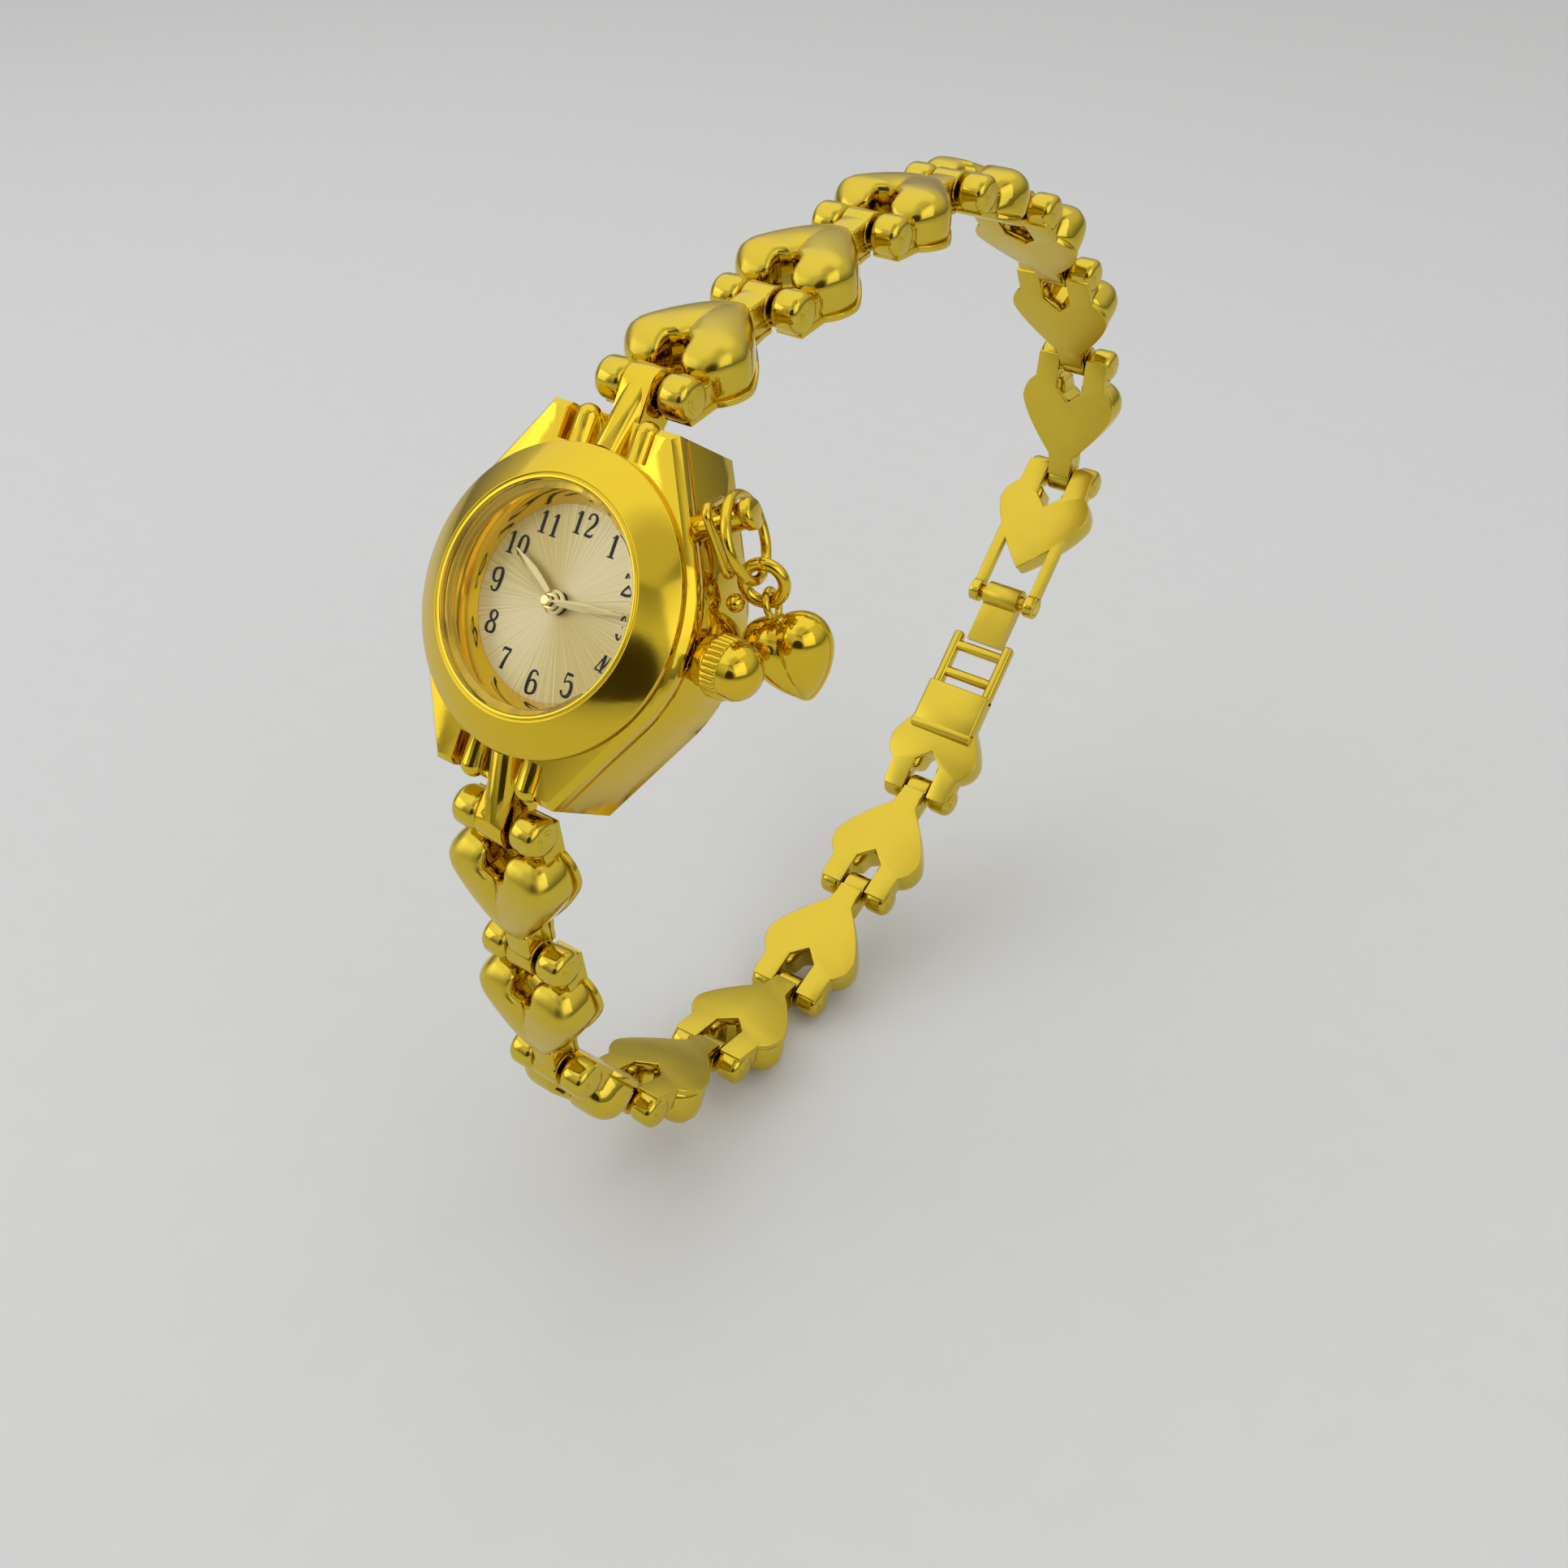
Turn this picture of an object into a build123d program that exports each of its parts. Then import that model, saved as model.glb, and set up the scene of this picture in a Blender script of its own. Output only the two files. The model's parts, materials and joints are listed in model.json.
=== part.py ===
from build123d import *
import math
import os

# A small dress watch on a bracelet of puffed heart links, closed into a loop.
# The bench frame has X to 3 o'clock, Y to 12 o'clock and Z out of the dial, with its
# origin at the centre of the case back's outer face. The finished watch leans back.
# Lengths are millimetres and angles are degrees.

# Whole watch
lean = 34.5                 # how far the dial leans back from upright
clearance = 0.06            # radial running gap of a pin or shaft
snug = 0.02                 # gap of pieces that are fitted and stay put
overrun = 0.5               # how far a cutter passes the face it cuts

# Case
case_radius = 8.8
shoulder_width_ratio = 0.47727   # half width of the flat ends, as a part of the case's radius
shoulder_reach_ratio = 1.15909   # reach of the flat ends, as a part of the case's radius
shoulder_half_width = shoulder_width_ratio * case_radius
shoulder_reach = shoulder_reach_ratio * case_radius
case_base = 1.0             # height of the case's back edge
dial_ledge_height = 5.8     # height of the ledge over the dial
front_depth = 0.8           # from the ledge to the face that carries the bezel
case_front = dial_ledge_height + front_depth
case_edge_chamfer = 0.35
case_wall = 1.7
front_step = 0.55           # the front opening is this much tighter than the bore
case_bore_radius = case_radius - case_wall
front_bore_radius = case_bore_radius - front_step
bezel_inset = 0.4           # from the case's edge to the bezel's
bezel_radius = case_radius - bezel_inset
fan_lap = 0.2               # how far the ribs start under the bezel
fan_start = bezel_radius - fan_lap
fan_depth = 0.8             # the fan lies in a step this deep
fan_floor = case_front - fan_depth
rib_radius_ratio = 0.174    # the ribs and lands share the width of the shoulder
rib_spacing_ratio = 0.476
land_ratio = 0.286
rib_radius = rib_radius_ratio * shoulder_half_width
land_width = land_ratio * shoulder_half_width
rib_spacing = rib_spacing_ratio * shoulder_half_width
rib_drop = 0.75             # rib axes under the front face
rib_height = case_front - rib_drop
rib_short = 0.45            # the rib's ball end is centred this much before the shoulder's end
rib_end = shoulder_reach - rib_short
bar_radius = 0.95
bar_drop = 0.7
bar_start_height = case_front - bar_drop

# Bracelet hinges
hinge_overhang = 2.05       # from the shoulder to the first hinge
hinge_reach = shoulder_reach + hinge_overhang
hinge_drop = 1.5            # hinge axis under the dial's ledge
hinge_height = dial_ledge_height - hinge_drop
hinge_radius = 1.3
pin_radius = 0.5
link_pitch = 10.2
upper_bend_angles = (46, 0, 9, 20, 20, 19, 33)
lower_bend_angles = (39, 1, 31, 31, 15, 29, 4)

# Heart link
tongue_width = 1.9
ear_gap = 2.3
ear_width = 1.95
lobe_radius = 1.95
lobe_start = 1.35           # from the hinge axis to the lobes
heart_tip = 8.3
tip_radius = 0.5
cheek_radius = 1.2          # where each lobe's dome ends towards the tip
cheek_offset = 0.62
cheek_station = 6.3
plate_thickness = 1.1
dome_rise = 0.1             # lobe centres over the hinge axis plane
ear_neck_rise = 0.65        # top of the necks that join the ears to the lobes

# Clasp
end_bar_radius = 0.55
end_bar_distance = 11.6     # from the upper end link's hinge
end_rail_gap = 4.2
rail_width = 0.85
rail_thickness = 1.0
rail_eye_radius = 0.95
bar_to_rung = 5.0
rung_radius = 0.45
rung_spacing = 2.4
ladder_gap = 3.8
box_plate_length = 3.0
box_plate_depth = 1.6
box_ridge_radius = 0.55
clasp_line = 0.8            # depth of the end bar and rungs under the hinge line
tongue_plate_width = 3.0
cover_barrel_radius = 1.05
cover_sheet = 0.6
rung_gap = 0.3
flange_thickness = 0.35
flange_rise = 0.55

# Bezel, crystal and rehaut
bezel_rise = 1.5            # from the case's front face to the top of the bezel
bezel_edge_rise = 0.4       # height of the bezel's upright edge
bezel_rim = 0.35            # flat rim round the crystal
crystal_inset = 0.35        # the crystal is this much smaller than the front opening
crystal_thickness = 0.7
crystal_sink = 0.6          # from the top of the bezel to the crystal's underside
lip_width = 0.45
lip_drop = 0.2              # the gasket's room under the crystal
lip_thickness = 0.15
collar_wall = 0.5
rehaut_wall = 0.05
rehaut_slope = 0.55         # how far the sloping ring narrows towards the dial
bezel_edge_height = case_front + bezel_edge_rise
bezel_top_height = case_front + bezel_rise
crystal_radius = front_bore_radius - crystal_inset
bezel_top_radius = crystal_radius + bezel_rim
crystal_base = bezel_top_height - crystal_sink
seat_lip_radius = crystal_radius - lip_width
seat_lip_height = crystal_base - lip_drop
seat_lip_base = seat_lip_height - lip_thickness
collar_bore_radius = front_bore_radius - collar_wall
rehaut_bottom_radius = seat_lip_radius - rehaut_slope

# Dial and hands
dial_inset = 0.2            # the dial is this much smaller than the case's bore
dial_radius = case_bore_radius - dial_inset
dial_thickness = 0.4
dial_hole_radius = 0.62
hour_length_ratio = 0.788   # of the visible dial's radius
minute_length_ratio = 0.904
second_length_ratio = 0.942
tail_length_ratio = 0.288
hour_hand_length = hour_length_ratio * rehaut_bottom_radius
minute_hand_length = minute_length_ratio * rehaut_bottom_radius
second_hand_length = second_length_ratio * rehaut_bottom_radius
second_tail_length = tail_length_ratio * rehaut_bottom_radius
hour_hand_width = 0.5
minute_hand_width = 0.42
second_hand_width = 0.12
hand_thickness = 0.14
tail_width_ratio = 0.667    # of the hand's own width
hand_lift = 0.32            # from the dial up to the hour hand
hour_hand_height = dial_ledge_height + hand_lift
hand_step = 0.32            # from one hand up to the next
hour_angle = 300
minute_angle = 82
second_angle = 80
hour_tube_radius = 0.5
hour_tube_wall = 0.12
minute_tube_wall = 0.12
second_shaft_radius = 0.12
hub_flange = 0.16
wheel_radius_ratio = 0.315   # the movement's pieces, as parts of its radius
wheel_thickness = 0.25

# Movement
holder_width = 1.7
movement_radius = case_bore_radius - holder_width
wheel_radius = wheel_radius_ratio * movement_radius
movement_base = 2.2
well_margin = 0.4
wheel_well_radius = wheel_radius + well_margin
well_depth = 2.4            # from the ledge down to the wheels' floor
wheel_well_floor = dial_ledge_height - well_depth
board_thickness = 0.35
battery_radius_ratio = 0.52
battery_radius = battery_radius_ratio * movement_radius
battery_base = 1.7
well_web = 0.1              # metal left between the wheels and the battery
battery_thickness = wheel_well_floor - well_web - battery_base
battery_across_ratio = 0.352
battery_down_ratio = 0.278
battery_offset = (-battery_across_ratio * movement_radius, -battery_down_ratio * movement_radius)
strap_width = 1.6
strap_length_ratio = 1.296
strap_length = strap_length_ratio * movement_radius
strap_thickness = 0.15
coil_radius = 0.6
coil_length_ratio = 0.6
coil_across_ratio = 0.5
coil_down_ratio = 0.46
coil_length = coil_length_ratio * movement_radius
coil_place = (coil_across_ratio * movement_radius, -coil_down_ratio * movement_radius)
coil_core_radius = 0.3
gasket_height = 0.2

# Case back
back_lap = 0.4              # the back covers the bore's edge by this much
back_radius = case_bore_radius + back_lap
back_collar_height = 0.5
back_collar_wall = 0.4

# Crown
crown_drop = 1.4            # crown axis under the dial's ledge
crown_height = dial_ledge_height - crown_drop
tube_radius = 0.95
tube_bore_radius = 0.62
stem_radius = 0.42
stem_start = 3.0
crown_gap = 0.15
crown_start = case_radius + crown_gap
neck_radius = 1.42
neck_length = 0.7
flute_ring_radius = 1.7
flute_ring_length = 1.0
flute_count = 30
flute_radius = 0.11
dome_radius = 1.6
clutch_radius = 0.9
clutch_length = 1.0
clutch_start = 3.5
clutch_well_radius = 1.05

# Charms
post_drop = 1.1             # post axis under the front face
post_height = case_front - post_drop
post_offset = 1.9           # along the flank facet from where it meets the round
post_radius = 0.7
post_length = 3.4
post_head_radius = 0.86
post_head_length = 0.7
ring_station = 2.35         # from the flank to the large ring
bail_station = 1.15
ring_radius = 2.2
ring_wire = 0.28
jump_radius = 1.1
jump_wire = 0.34
eye_radius = 0.75
eye_wire = 0.2
charm_lobe_radius = 1.6
charm_lobe_offset = 0.85
charm_tip_drop = 2.75
charm_tip_radius = 0.6
charm_rim = 0.1             # the rim stands this far out of the lobes
charm_rim_thickness = 0.3
bail_wire = 0.24
bail_half_width = 1.45
bail_drop = 3.9
bead_radius = 0.5
loop_gap = 0.07
hang_out_ratio = 0.36             # unit slopes of the way the charms hang
hang_back_ratio = 0.12
bail_out_ratio = 0.38
bail_forward_ratio = 0.14

watch_pose = Rot(90 - lean, 0, 0)
case_height_span = case_front - case_base


def drum(radius, bottom, top):
    """A round solid about the dial axis, between two heights."""
    return Pos(0, 0, bottom) * Cylinder(radius, top - bottom, align=(Align.CENTER, Align.CENTER, Align.MIN))


def washer(outer, inner, bottom, top):
    return drum(outer, bottom, top) - drum(inner, bottom - overrun, top + overrun)


def bar_x(radius, start, end):
    """A round bar along X between two stations."""
    return Pos(start, 0, 0) * Rot(0, 90, 0) * Cylinder(
        radius, end - start, align=(Align.CENTER, Align.CENTER, Align.MIN))


def block(x0, x1, y0, y1, z0, z1):
    """A box between two corners."""
    return Pos((x0 + x1) / 2, (y0 + y1) / 2, (z0 + z1) / 2) * Box(x1 - x0, y1 - y0, z1 - z0)


def case_outline():
    round_part = Circle(case_radius)
    shoulders = Rectangle(2 * shoulder_half_width, 2 * shoulder_reach)
    return make_hull(round_part.edges() + shoulders.edges())


def hinge_bar():
    """The long bar of the fan, which ends in the knuckle of the first link's hinge."""
    knuckle = Pos(0, hinge_reach, hinge_height) * bar_x(hinge_radius, -tongue_width / 2, tongue_width / 2)
    start = Vector(0, fan_start, bar_start_height)
    end = Vector(0, hinge_reach, hinge_height + hinge_radius - bar_radius)
    rod = Plane(origin=start, z_dir=end - start) * Cylinder(
        bar_radius, (end - start).length, align=(Align.CENTER, Align.CENTER, Align.MIN))
    under = Plane.YZ * make_hull(
        (Pos(hinge_reach, hinge_height) * Circle(hinge_radius)).edges()
        + (Pos(fan_start, bar_start_height - hinge_radius) * Circle(bar_radius)).edges())
    web = extrude(under, tongue_width / 2, both=True)
    bore = Pos(0, hinge_reach, hinge_height) * bar_x(
        pin_radius + clearance, -tongue_width, tongue_width)
    return knuckle + rod + web - bore


def rib(x):
    """A half round rib of the fan with a ball end."""
    run = Pos(x, fan_start, rib_height) * Rot(-90, 0, 0) * Cylinder(
        rib_radius, rib_end - fan_start, align=(Align.CENTER, Align.CENTER, Align.MIN))
    return run + Pos(x, rib_end, rib_height) * Sphere(rib_radius)


def fan():
    """Two ribs at 12 o'clock and the long bar between them, which carries the bracelet."""
    return hinge_bar() + rib(-rib_spacing) + rib(rib_spacing)


def make_case_body():
    body = Pos(0, 0, case_base) * extrude(case_outline(), case_height_span)
    front_edges = body.faces().sort_by(Axis.Z)[-1].edges()
    body = chamfer(front_edges, case_edge_chamfer)
    fan_cut = block(land_width - shoulder_half_width, shoulder_half_width - land_width,
                    fan_start, shoulder_reach + overrun, fan_floor, case_front + overrun)
    cleared = fan_cut - drum(bezel_radius + snug, fan_floor - overrun, case_front + 2 * overrun)
    bezel_room = drum(bezel_radius + snug, case_front, bezel_top_height)
    for turn in (0, 180):
        body -= Rot(0, 0, turn) * cleared
        body += Rot(0, 0, turn) * fan()
    body -= bezel_room
    body -= drum(case_bore_radius, case_base - overrun, dial_ledge_height)
    body -= drum(front_bore_radius, case_base, case_front + overrun)
    body -= Pos(0, 0, crown_height) * bar_x(tube_radius, 0, case_radius + overrun)
    return body


def make_bezel_ring():
    profile = Polyline(
        (bezel_radius, case_front), (bezel_radius, bezel_edge_height),
        (bezel_top_radius, bezel_top_height), (crystal_radius, bezel_top_height),
        (crystal_radius, seat_lip_height), (seat_lip_radius, seat_lip_height),
        (seat_lip_radius, seat_lip_base), (collar_bore_radius, seat_lip_base),
        (collar_bore_radius, dial_ledge_height + snug), (front_bore_radius - snug, dial_ledge_height + snug),
        (front_bore_radius - snug, case_front), close=True)
    return revolve(Plane.XZ * make_face(profile), Axis.Z)


def make_rehaut_ring():
    base = dial_ledge_height + snug
    top = seat_lip_base - snug
    outer = collar_bore_radius - rehaut_wall
    profile = Polyline((outer, base), (rehaut_bottom_radius, base), (seat_lip_radius, top), (outer, top),
                       close=True)
    return revolve(Plane.XZ * make_face(profile), Axis.Z)


def make_dial():
    top = dial_ledge_height
    return washer(dial_radius, dial_hole_radius, top - dial_thickness, top)


def hand(length, tail, width, height, hole, angle):
    """A tapered hand with a round hub, turned to its place on the dial."""
    hub = Circle(hole + hub_flange)
    tail_half = tail_width_ratio * width / 2
    blade = make_face(Polyline((-width / 2, 0), (0, length), (width / 2, 0), (tail_half, -tail),
                               (-tail_half, -tail), close=True))
    flat = hub + blade - Circle(hole)
    return Rot(0, 0, -angle) * Pos(0, 0, height) * extrude(flat, hand_thickness)


def make_hands():
    """Each hand with the tube or shaft that carries it through the dial."""
    minute_tube_radius = hour_tube_radius - hour_tube_wall - clearance
    minute_bore = minute_tube_radius - minute_tube_wall
    minute_height = hour_hand_height + hand_step
    second_height = minute_height + hand_step
    hour_wheel = (washer(hour_tube_radius, hour_tube_radius - hour_tube_wall,
                         wheel_well_floor + 3 * wheel_thickness, hour_hand_height + hand_thickness)
                  + washer(wheel_radius, hour_tube_radius - hour_tube_wall,
                           wheel_well_floor + 3 * wheel_thickness, wheel_well_floor + 4 * wheel_thickness))
    cannon = (washer(minute_tube_radius, minute_bore, wheel_well_floor + wheel_thickness,
                     minute_height + hand_thickness)
              + washer(wheel_radius, minute_bore, wheel_well_floor + wheel_thickness,
                       wheel_well_floor + 2 * wheel_thickness))
    shaft = drum(second_shaft_radius, wheel_well_floor - well_web / 2, second_height + hand_thickness)
    return {
        "hour_hand": hand(hour_hand_length, hour_tube_radius, hour_hand_width, hour_hand_height,
                          hour_tube_radius, hour_angle),
        "hour_wheel": hour_wheel,
        "minute_hand": hand(minute_hand_length, minute_tube_radius, minute_hand_width, minute_height,
                            minute_tube_radius, minute_angle),
        "cannon_pinion": cannon,
        "second_hand": hand(second_hand_length, second_tail_length, second_hand_width, second_height,
                            second_shaft_radius, second_angle),
        "seconds_shaft": shaft,
    }


def make_movement():
    """The quartz movement's pieces, closed in by the dial and the case back."""
    top = dial_ledge_height - dial_thickness - snug
    battery_x, battery_y = battery_offset
    coil_x, coil_y = coil_place
    coil_z = movement_base + coil_radius + clearance
    battery_spot = Pos(battery_x, battery_y, 0)
    stem_axis = Pos(0, 0, crown_height)
    plate = drum(movement_radius, movement_base, top)
    plate -= drum(wheel_well_radius, wheel_well_floor, top + overrun)
    plate -= drum(second_shaft_radius + clearance, battery_base, top)
    plate -= battery_spot * drum(battery_radius + clearance, movement_base - overrun,
                                 battery_base + battery_thickness + snug)
    plate -= stem_axis * bar_x(clutch_well_radius, clutch_start - clearance, movement_radius + overrun)
    plate -= stem_axis * bar_x(stem_radius + clearance, stem_start - clearance, movement_radius)
    coil_room = coil_radius + clearance
    plate -= block(coil_x - coil_room, coil_x + coil_room, coil_y - coil_length / 2 - clearance,
                   coil_y + coil_length / 2 + clearance, movement_base - overrun, coil_z + coil_room)
    coil = Pos(coil_x, coil_y, coil_z) * Rot(90, 0, 0) * (
        Cylinder(coil_radius, coil_length) - Cylinder(coil_core_radius, coil_length + overrun))
    board = drum(movement_radius, movement_base - board_thickness - snug, movement_base - snug)
    board -= battery_spot * drum(battery_radius + clearance, 0, movement_base)
    holder = washer(case_bore_radius - snug, movement_radius + snug, movement_base, top)
    holder -= stem_axis * bar_x(clutch_well_radius, 0, case_bore_radius + overrun)
    strap = Pos(battery_x, battery_y, battery_base - snug - strap_thickness / 2) * Box(
        strap_width, strap_length, strap_thickness)
    return {
        "movement_plate": plate,
        "circuit_board": board,
        "movement_holder": holder,
        "motor_coil": coil,
        "battery_cell": battery_spot * drum(battery_radius, battery_base, battery_base + battery_thickness),
        "battery_strap": strap,
    }


def make_case_back():
    collar = washer(case_bore_radius - snug, case_bore_radius - back_collar_wall, case_base,
                    case_base + back_collar_height)
    plate = drum(back_radius, 0, case_base)
    return chamfer(plate.faces().sort_by(Axis.Z)[0].edges(), case_edge_chamfer) + collar


def make_crown():
    """Neck, fluted grip and ball end, bored for the stem."""
    grip_start = crown_start + neck_length
    grip_end = grip_start + flute_ring_length
    body = bar_x(neck_radius, crown_start, grip_start) + bar_x(flute_ring_radius, grip_start, grip_end)
    flute = Pos(0, 0, flute_ring_radius) * bar_x(flute_radius, grip_start - overrun, grip_end + overrun)
    for index in range(flute_count):
        body -= Rot(index * 360 / flute_count, 0, 0) * flute
    body += Pos(grip_end, 0, 0) * Sphere(dome_radius) - bar_x(2 * dome_radius, 0, grip_start)
    body -= bar_x(stem_radius + snug, crown_start - overrun, grip_start)
    return Pos(0, 0, crown_height) * body


def make_stem():
    return Pos(0, 0, crown_height) * bar_x(stem_radius, stem_start, crown_start + neck_length - snug)


def make_clutch():
    sleeve = bar_x(clutch_radius, clutch_start, clutch_start + clutch_length)
    bore = bar_x(stem_radius + clearance, clutch_start - overrun, clutch_start + clutch_length + overrun)
    return Pos(0, 0, crown_height) * (sleeve - bore)


def make_crown_tube():
    tube = bar_x(tube_radius, case_bore_radius, case_radius)
    return Pos(0, 0, crown_height) * (tube - bar_x(tube_bore_radius, 0, case_radius + overrun))


def make_crown_gasket():
    middle = (case_bore_radius + case_radius) / 2
    seal = bar_x(tube_bore_radius - snug, middle - stem_radius, middle + stem_radius)
    return Pos(0, 0, crown_height) * (seal - bar_x(stem_radius + snug, 0, case_radius + overrun))


def hull_plate(outline, bottom, top):
    return Pos(0, 0, bottom) * extrude(outline, top - bottom)


def heart_solid():
    """Two puffed lobes that taper to one tip, on a flat heart plate."""
    lobe_y = lobe_start + lobe_radius
    floor = -hinge_radius
    solid = None
    for side in (-1, 1):
        outline = make_hull((Pos(side * lobe_radius, lobe_y) * Circle(lobe_radius)).edges()
                            + (Pos(side * cheek_offset, cheek_station) * Circle(cheek_radius)).edges()
                            + (Pos(0, heart_tip) * Circle(tip_radius)).edges())
        plate = hull_plate(outline, floor, floor + plate_thickness)
        inward = lobe_radius - cheek_offset
        reach = math.hypot(inward, cheek_station - lobe_y)
        lean_in = math.degrees(math.atan2(inward, cheek_station - lobe_y))
        drop = Pos(side * lobe_radius, lobe_y, dome_rise) * Rot(0, 0, side * lean_in) * teardrop(
            lobe_radius, reach, cheek_radius)
        dome = drop & block(-link_pitch, link_pitch, 0, link_pitch,
                            floor + plate_thickness - snug, link_pitch)
        solid = plate + dome if solid is None else solid + plate + dome
    return solid


def teardrop(big, reach, small):
    """A ball at the origin that tapers along +Y to a small ball."""
    turn = math.acos((big - small) / reach)
    start = (big * math.sin(turn), big * math.cos(turn))
    end = (small * math.sin(turn), reach + small * math.cos(turn))
    half = Polyline((0, -big), (0, reach + small)).edges()
    outline = [
        *half,
        ThreePointArc((0, reach + small),
                      (small * math.sin(turn / 2), reach + small * math.cos(turn / 2)), end),
        Line(end, start),
        ThreePointArc(start, (big, 0), (0, -big)),
    ]
    return revolve(make_face(outline), Axis.Y)


def ears():
    """Two barrels about the hinge axis, each joined to its lobe."""
    solid = None
    for side in (-1, 1):
        inner = ear_gap / 2
        outer = inner + ear_width
        x0, x1 = sorted((side * inner, side * outer))
        barrel = bar_x(hinge_radius, x0, x1)
        neck = block(x0, x1, 0, lobe_start + lobe_radius, -hinge_radius, ear_neck_rise)
        solid = barrel + neck if solid is None else solid + barrel + neck
    return solid


def ear_bore():
    span = ear_gap + 2 * ear_width + 2 * overrun
    return bar_x(pin_radius + snug, -span / 2, span / 2)


def hinge_pin():
    span = ear_gap + 2 * ear_width
    return bar_x(pin_radius, -span / 2, span / 2)


def make_link():
    """A heart link: ears at its origin, heart tip and tongue towards +Y, outer side +Z."""
    tongue = bar_x(hinge_radius, -tongue_width / 2, tongue_width / 2)
    tongue = Pos(0, link_pitch, 0) * tongue
    neck = block(-tongue_width / 2, tongue_width / 2, heart_tip - lobe_radius, link_pitch,
                 -hinge_radius, -hinge_radius + plate_thickness)
    body = heart_solid() + ears() + neck + tongue
    body -= ear_bore()
    body -= Pos(0, link_pitch, 0) * bar_x(pin_radius + clearance, -tongue_width, tongue_width)
    return Compound([body.solid(), hinge_pin().solid()])


def rails(gap, start, end):
    """Two flat rails along the bracelet, at the clasp's depth."""
    half = rail_thickness / 2
    pair = block(gap / 2, gap / 2 + rail_width, start, end, -clasp_line - half, -clasp_line + half)
    return pair + block(-gap / 2 - rail_width, -gap / 2, start, end, -clasp_line - half, -clasp_line + half)


def make_upper_end_link():
    """A heart with a cross plate and two rails that hold the clasp's bar."""
    lobe_y = lobe_start + lobe_radius
    half = end_rail_gap / 2 + rail_width
    plate = block(-half, half, lobe_y, lobe_y + lobe_radius + rail_width,
                  -hinge_radius, -hinge_radius + plate_thickness)
    body = heart_solid() + ears() + plate + rails(end_rail_gap, lobe_y, end_bar_distance)
    bar_line = Pos(0, end_bar_distance, -clasp_line)
    for x0, x1 in ((-half, -end_rail_gap / 2), (end_rail_gap / 2, half)):
        body += bar_line * bar_x(rail_eye_radius, x0, x1)
    body -= ear_bore()
    body -= bar_line * bar_x(end_bar_radius + snug, -half - overrun, half + overrun)
    return Compound([body.solid(), hinge_pin().solid()])


def make_clasp_pin():
    half = end_rail_gap / 2 + rail_width
    return Pos(0, end_bar_distance, -clasp_line) * bar_x(end_bar_radius, -half, half)


def make_clasp_cover():
    """The tongue that turns on the clasp's bar and meets the ladder's first rung."""
    half = tongue_plate_width / 2
    reach = bar_to_rung - rung_radius - rung_gap
    barrel = bar_x(cover_barrel_radius, -half, half)
    sheet = block(-half, half, 0, reach, -cover_sheet / 2, cover_sheet / 2)
    lip = Pos(0, reach - cover_sheet, cover_sheet / 2) * bar_x(cover_sheet, -half, half)
    body = barrel + sheet + lip
    for x0, x1 in ((-half, -half + flange_thickness), (half - flange_thickness, half)):
        body += block(x0, x1, 0, reach - cover_sheet, 0, flange_rise + cover_sheet / 2)
    body -= bar_x(end_bar_radius + clearance, -half - overrun, half + overrun)
    return Pos(0, end_bar_distance, -clasp_line) * body


def make_lower_end_link(length):
    """A heart with a boxed plate, a ridge and the two runged ladder, up to the given first rung."""
    lobe_y = lobe_start + lobe_radius
    half = ladder_gap / 2 + rail_width
    box_start = lobe_y + lobe_radius
    box_end = box_start + box_plate_length
    plate = block(-half, half, box_start, box_end, -hinge_radius - box_plate_depth + plate_thickness,
                  -hinge_radius + plate_thickness)
    ridge = Pos(0, box_start, -hinge_radius) * bar_x(box_ridge_radius, -half, half)
    body = heart_solid() + ears() + plate + ridge
    body += rails(ladder_gap, box_end - rail_width, length + rail_width + rung_gap)
    rung_half = half - rail_width / 2
    for station in (length - rung_spacing, length):
        body += Pos(0, station, -clasp_line) * bar_x(rung_radius, -rung_half, rung_half)
    body -= ear_bore()
    return Compound([body.solid(), hinge_pin().solid()])


def chain(bends, side):
    """Hinge points and turned angles of one half of the bracelet, from the case outwards."""
    point = (side * hinge_reach, hinge_height)
    turned = 0
    stations = []
    for bend in bends:
        turned += bend
        stations.append((point, turned))
        step = math.radians(turned)
        point = (point[0] + side * link_pitch * math.cos(step), point[1] - link_pitch * math.sin(step))
    return stations, point


def seat(point, turned, side):
    """Placement of a link made at the origin, with its ears on a hinge point."""
    facing = Rot(0, 0, 0) if side > 0 else Rot(0, 0, 180)
    return Pos(0, *point) * Rot(-side * turned, 0, 0) * facing


def unit(vector):
    return vector * (1 / vector.length)


def hang_frame(out, back, normal):
    """Down direction and ring normal for something that hangs from the post."""
    down = unit(Vector(out, back, -1))
    across = unit(normal - down * normal.dot(down))
    return down, across


def loop(centre, normal, radius, wire):
    return Plane(origin=centre, z_dir=normal) * Torus(radius, wire)


def facet_angle():
    """Direction of the flat flank between the round part and the shoulder."""
    corner = math.hypot(shoulder_half_width, shoulder_reach)
    return math.degrees(math.atan2(shoulder_reach, shoulder_half_width) - math.acos(case_radius / corner))


def make_post():
    """A round bar square to the flank, with a fuller head that keeps the rings on."""
    shank = bar_x(post_radius, case_radius, case_radius + post_length)
    head_start = case_radius + post_length - post_head_length
    head = bar_x(post_head_radius, head_start, head_start + post_head_length)
    head = fillet(head.edges().filter_by(GeomType.CIRCLE), post_head_length / 3)
    return Rot(0, 0, facet_angle()) * Pos(0, post_offset, post_height) * (shank + head)


def post_point(station):
    """A point on the post's axis, in the leaned frame."""
    spot = watch_pose * Rot(0, 0, facet_angle()) * Pos(case_radius + station, post_offset, post_height)
    return spot.position


def on_arc(across, along, radius, angle):
    """A point on an arc round a centre, by its angle from +X."""
    return across + radius * math.cos(angle), along + radius * math.sin(angle)


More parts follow.
